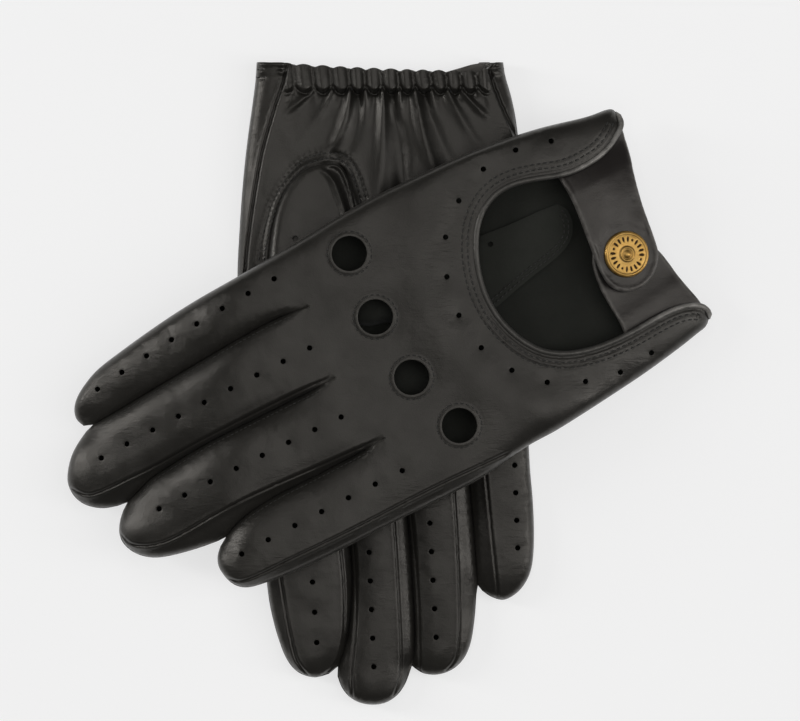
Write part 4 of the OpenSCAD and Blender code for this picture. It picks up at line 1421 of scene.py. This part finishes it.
def seat():
    """The thumb's leather where it is sewn to the palm, seen inside the left opening."""
    inner = Piece("left_thumb_seat")
    edge = spline(SEAT_EDGE)
    loop = np.concatenate([edge, SEAT_REST])
    v, t = triangulate(loop, (), punched(SEAT_HOLES), spacing=1.4)
    d = distance(v, loop, True)

    def top(q):
        return left_down(q) + 1.9 + 0.55 * smooth(0, 1.6, distance(q, loop, True))
    points = left.lay(np.column_stack([v, top(v)]))
    inner.shell(points, vertex_normals(points, t), t, 0.8, 0.5 * bump(d, 1.2))
    ride_mesh(inner, "left_hand", seat_suede)
    threads = Piece("left_seat_stitches")
    for by in (1.5, 3.0):
        stitch(threads, left, top, offset_path(edge, -by)[2:-1], 1.9, 1.4)
    ride_mesh(threads, "left_hand", stitching)


seat()
thumb(right, right_thumb_up, right_up, thumb_loop, THUMB_HOLES, True)
thumb(left, left_thumb_down, left_down, left_thumb_loop, (), False)

# ---- Straps ---------------------------------------------------------------------------

STRAP_Z = 5.0                    # height of the strap's middle above the glove's middle plane
STRAP_FOLD = (31.5, 22)          # two places across the hand along the strap's middle
strap_loop = np.concatenate([spline(STRAP), [(34, 20), (34, 12), (34, 5)]])
lining_loop = np.concatenate([offset_path(spline(STRAP), -1.0)[2:-2],
                              [(32.4, 26.6), (32.4, 13), (32.4, 0.6)]])
under_loop = np.concatenate([spline(UNDER_TAB[:9]), [(-37, y) for y in range(1, 29, 2)],
                             spline(UNDER_TAB[9:] + UNDER_TAB[:1])[:-1]])


def strap_rise(v):
    """The strap arches between the snap and the lobe it comes out from."""
    across = (v[:, 1] - 17) / 11
    return (0.8 * bump(v[:, 0] - 9, 10) - 2.7 * smooth(20, 30, v[:, 0])
            - 0.7 * across ** 2 * smooth(0, 8, v[:, 0]))


def strap_top(v, d):
    """The strap's face: a rolled rim with a groove inside it, and a dish under the cap."""
    dish = np.hypot(v[:, 0] - SNAP[0], v[:, 1] - SNAP[1])
    soft = 0.15 * ripple(v, 14, 8.1) + 0.08 * ripple(v, 6, 2.2)
    return (5.15 + strap_rise(v) + swell(d, 0.75, 0.8) + 0.2 * bump(d - 1.0, 0.5)
            - 0.3 * bump(d - 2.0, 0.45)
            - 0.25 * bump(dish - 9.4, 1.0) - 0.35 * smooth(9, 6, dish) + soft)


def strap_low(v, d):
    """The flesh side of the strap's outer leather."""
    return STRAP_Z + strap_rise(v) - swell(d, 0.35, 1.0)


def under_top(v, d):
    """The tab across the opening, with one faint fold near its lobe."""
    x = v[:, 0]
    fold = bump(x + 25 + 0.12 * (v[:, 1] - 15), 2.4)
    return (0.95 + swell(d, 0.65, 0.9) + 1.2 * smooth(-14, -34, x) + 0.2 * fold
            + 0.12 * ripple(v, 12, 5.2) * smooth(-14, -20, x) - 0.12 * bump(d - 1.9, 0.45))


def under_low(v, d):
    return 0.9 - swell(d, 0.3, 0.9) + 1.2 * smooth(-14, -34, v[:, 0])


def strap(glove, face):
    """Strap, lining, under-tab and sewn end of one glove; face is -1 for the lower glove."""
    side = glove.name
    hand = f"{side}_hand"
    place = stiff(glove, face)
    root, free = (tuple(place([x, SNAP[1], STRAP_Z])[0]) for x in STRAP_FOLD)

    tab = Piece(f"{side}_strap")
    puff(tab, place, strap_loop, strap_top, strap_low, 1.3)
    lining = Piece(f"{side}_strap_lining")
    puff(lining, place, lining_loop, lambda v, d: 4.68 + strap_rise(v) + 0 * d,
         lambda v, d: 4.5 + strap_rise(v) - swell(d, 0.45, 0.5), 2.0, (0.3,))
    for mesh, slot, material, name in (
            (tab, "strap_leather", strap_leather, "strap_tab"),
            (lining, "suede_inside", suede_inside, "strap_lining")):
        flip(mesh, face)
        blend_mesh(mesh, (hand, f"{side}_strap"), root, free, slot, material, None,
                   [f"{side}_{name}"])
    under = Piece(f"{side}_under_tab")
    puff(under, place, under_loop, under_top, under_low, 1.4)
    flip(under, face)
    ride_mesh(under, hand, strap_leather, replaces=[f"{side}_under_tab"])
    anchor = Piece(f"{side}_anchor")
    puff(anchor, place, box_outline(28.6, 35, 6.5, 27.6, 1.2),
         lambda v, d: 1.9 + swell(d, 0.7, 0.5), lambda v, d: 1.7 - swell(d, 0.1, 0.5), 1.6, (0.3,))
    flip(anchor, face)
    ride_mesh(anchor, hand, strap_leather, replaces=[f"{side}_strap_anchor"])


def flip(mesh, face):
    """Pieces drawn on the underside come out inside out, so their faces are turned."""
    if face < 0:
        mesh.faces = [f[:, ::-1] for f in mesh.faces]
        mesh.normals = [-n.reshape(-1, 3, 3)[:, ::-1].reshape(-1, 3) for n in mesh.normals]


strap(left, 1)
strap(right, -1)

# ---- Snaps -----------------------------------------------------------------------------

CAP_Z = 5.72                     # underside of the cap's rim, from which CAP's heights are measured
CAP = [(0, 2.2), (0.5, 2.18), (0.95, 2.05), (1.25, 1.86), (1.45, 1.66), (1.75, 1.66), (1.95, 1.84),
       (2.2, 1.92), (2.45, 1.84), (2.65, 1.62), (2.95, 1.56), (3.2, 1.58), (3.5, 1.61), (3.8, 1.63),
       (4.1, 1.64), (4.4, 1.645), (4.7, 1.65), (5.0, 1.65), (5.3, 1.645), (5.6, 1.64), (5.9, 1.62),
       (6.2, 1.59), (6.4, 1.56), (6.6, 1.52), (6.8, 1.6), (7.0, 1.68), (7.3, 1.68), (7.6, 1.5),
       (7.82, 1.2), (7.93, 0.85), (7.93, 0.5), (7.8, 0.2), (7.4, 0.0), (1.5, 0.0), (1.5, -1.7),
       (0, -1.7)]


def cap_relief(r, angle, z):
    """A ring of small sunk marks, long and short, between two grooves."""
    dark = 0.85 * bump(r - 2.78, 0.16) + 0.8 * bump(r - 6.72, 0.12) + 0.6 * bump(r - 1.58, 0.16)
    if 3.4 < r < 6.6 and z > 0:
        turn = angle * 20 / (2 * math.pi)
        short = int(turn) % 5 == 2
        mark = bump(r - 5.15, 0.45 if short else 1.0) * bump(turn % 1 - 0.5, 0.24)
        return -0.14 * float(smooth(0.3, 0.55, mark)), float(smooth(0.25, 0.55, mark)) * 0.9
    return 0.0, float(min(dark, 1.0)) if z > 0.3 else 0.35


for glove, face in ((left, 1), (right, -1)):
    place = stiff(glove, face)
    cap = Piece(f"{glove.name}_snap_cap_face")
    lathe(cap, lambda p, place=place: place(p + [0, 0, CAP_Z]), CAP, cap_relief)
    ride_mesh(cap, f"{glove.name}_strap", antique_brass,
              replaces=[f"{glove.name}_snap_cap"])
    for part in ("stud", "rivet", "socket"):
        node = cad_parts[f"{glove.name}_snap_{part}"]
        node.data.materials.clear()
        node.data.materials.append(antique_brass)

# ---- Stitching -----------------------------------------------------------------------

for glove, surf, face in ((left, left_up, 1), (right, right_down, -1)):
    threads = Piece(f"{glove.name}_back_stitches")
    for by in TOPSTITCH:
        row = offset_path(opening_path, -by)
        keep = (row[:, 1] > 0.5) & (distance(row, glove.edge) > 1.2)
        stitch(threads, glove, surf, row[keep], face=face)
    for k in KNUCKLES:
        path = ring(k, KNUCKLE_R + 1.5, 60)
        stitch(threads, glove, surf, np.concatenate([path, path[:1]]), 2.0, 1.4, face=face)
    ride_mesh(threads, f"{glove.name}_hand", stitching)

for i, finger in enumerate(NAMES[1:]):
    threads = Piece(f"left_{finger}_stitches")
    row = left.valleys[i] - [1.35, 0]
    stitch(threads, left, left_up, row[8:-6], 1.7, 1.2, 0.2)
    blend_mesh(threads, ("left_hand", f"left_{finger}"), *finger_span(left, i + 1),
               "stitching", stitching)

palm_threads = Piece("right_palm_stitches")
for by in (0.0, -1.9):
    stitch(palm_threads, right, right_up, offset_path(thumb_seam, by), 1.9, 1.35)
for y in (1.2, 3.9):
    for x0, x1 in ((33.4, 42), (-42, -38.6)):
        stitch(palm_threads, right, right_up, np.array([(x0, y), (x1, y + 0.5)]), 1.9, 1.3)
ride_mesh(palm_threads, "right_hand", stitching)

# ---- Camera, light and floor -----------------------------------------------------------

scene = bpy.context.scene
camera_data = bpy.data.cameras.new("camera")
camera = bpy.data.objects.new("camera", camera_data)
scene.collection.objects.link(camera)
VIEW_CENTER = (0.0043, 0.00842)
VIEW_WIDTH = 0.276
VIEW_DISTANCE = 2.0
camera.location = (*VIEW_CENTER, VIEW_DISTANCE)
camera_data.sensor_width = 36
camera_data.lens = 36 * VIEW_DISTANCE / VIEW_WIDTH
camera_data.clip_end = 20
scene.camera = camera


def softbox(name, at, size, power, aim_down=False):
    """A rectangular light that faces the gloves, or straight down."""
    data = bpy.data.lights.new(name, "AREA")
    data.shape = "RECTANGLE"
    data.size, data.size_y = size
    data.energy = power
    light = bpy.data.objects.new(name, data)
    light.location = at
    if not aim_down:
        aim = Vector((0, 0, 0.02)) - Vector(at)
        light.rotation_euler = aim.to_track_quat("-Z", "Y").to_euler()
    scene.collection.objects.link(light)


softbox("overhead", (-0.07, 0.33, 1.3), (0.42, 1.4), 2.4, aim_down=True)
softbox("east", (0.86, 0.0, 1.1), (0.6, 1.5), 4.8)
softbox("west low", (-1.25, 0.35, 0.5), (0.22, 1.5), 8.5)
softbox("east low", (1.3, -0.2, 0.4), (0.2, 1.5), 3.0)

world = bpy.data.worlds.new("studio")
world.use_nodes = True
set_inputs(world.node_tree.nodes["Background"], {"Color": (1, 1, 1, 1), "Strength": 0.12})
scene.world = world
scene.view_settings.view_transform = "Standard"

floor_shader = Shader("paper", 0.9)
floor_shader.link(floor_shader.ramp(floor_shader.noise(3.0), (0.3, (0.34, 0.34, 0.34)),
                                    (0.7, (0.36, 0.36, 0.36))),
                  floor_shader.bsdf.inputs["Base Color"])
set_inputs(floor_shader.bsdf, {"Emission Color": (1, 1, 1, 1), "Emission Strength": 0.67})
bpy.ops.mesh.primitive_plane_add(size=8, location=(0, 0, -0.0003))
floor = bpy.context.object
floor.name = "floor"
floor.data.materials.append(floor_shader.material)
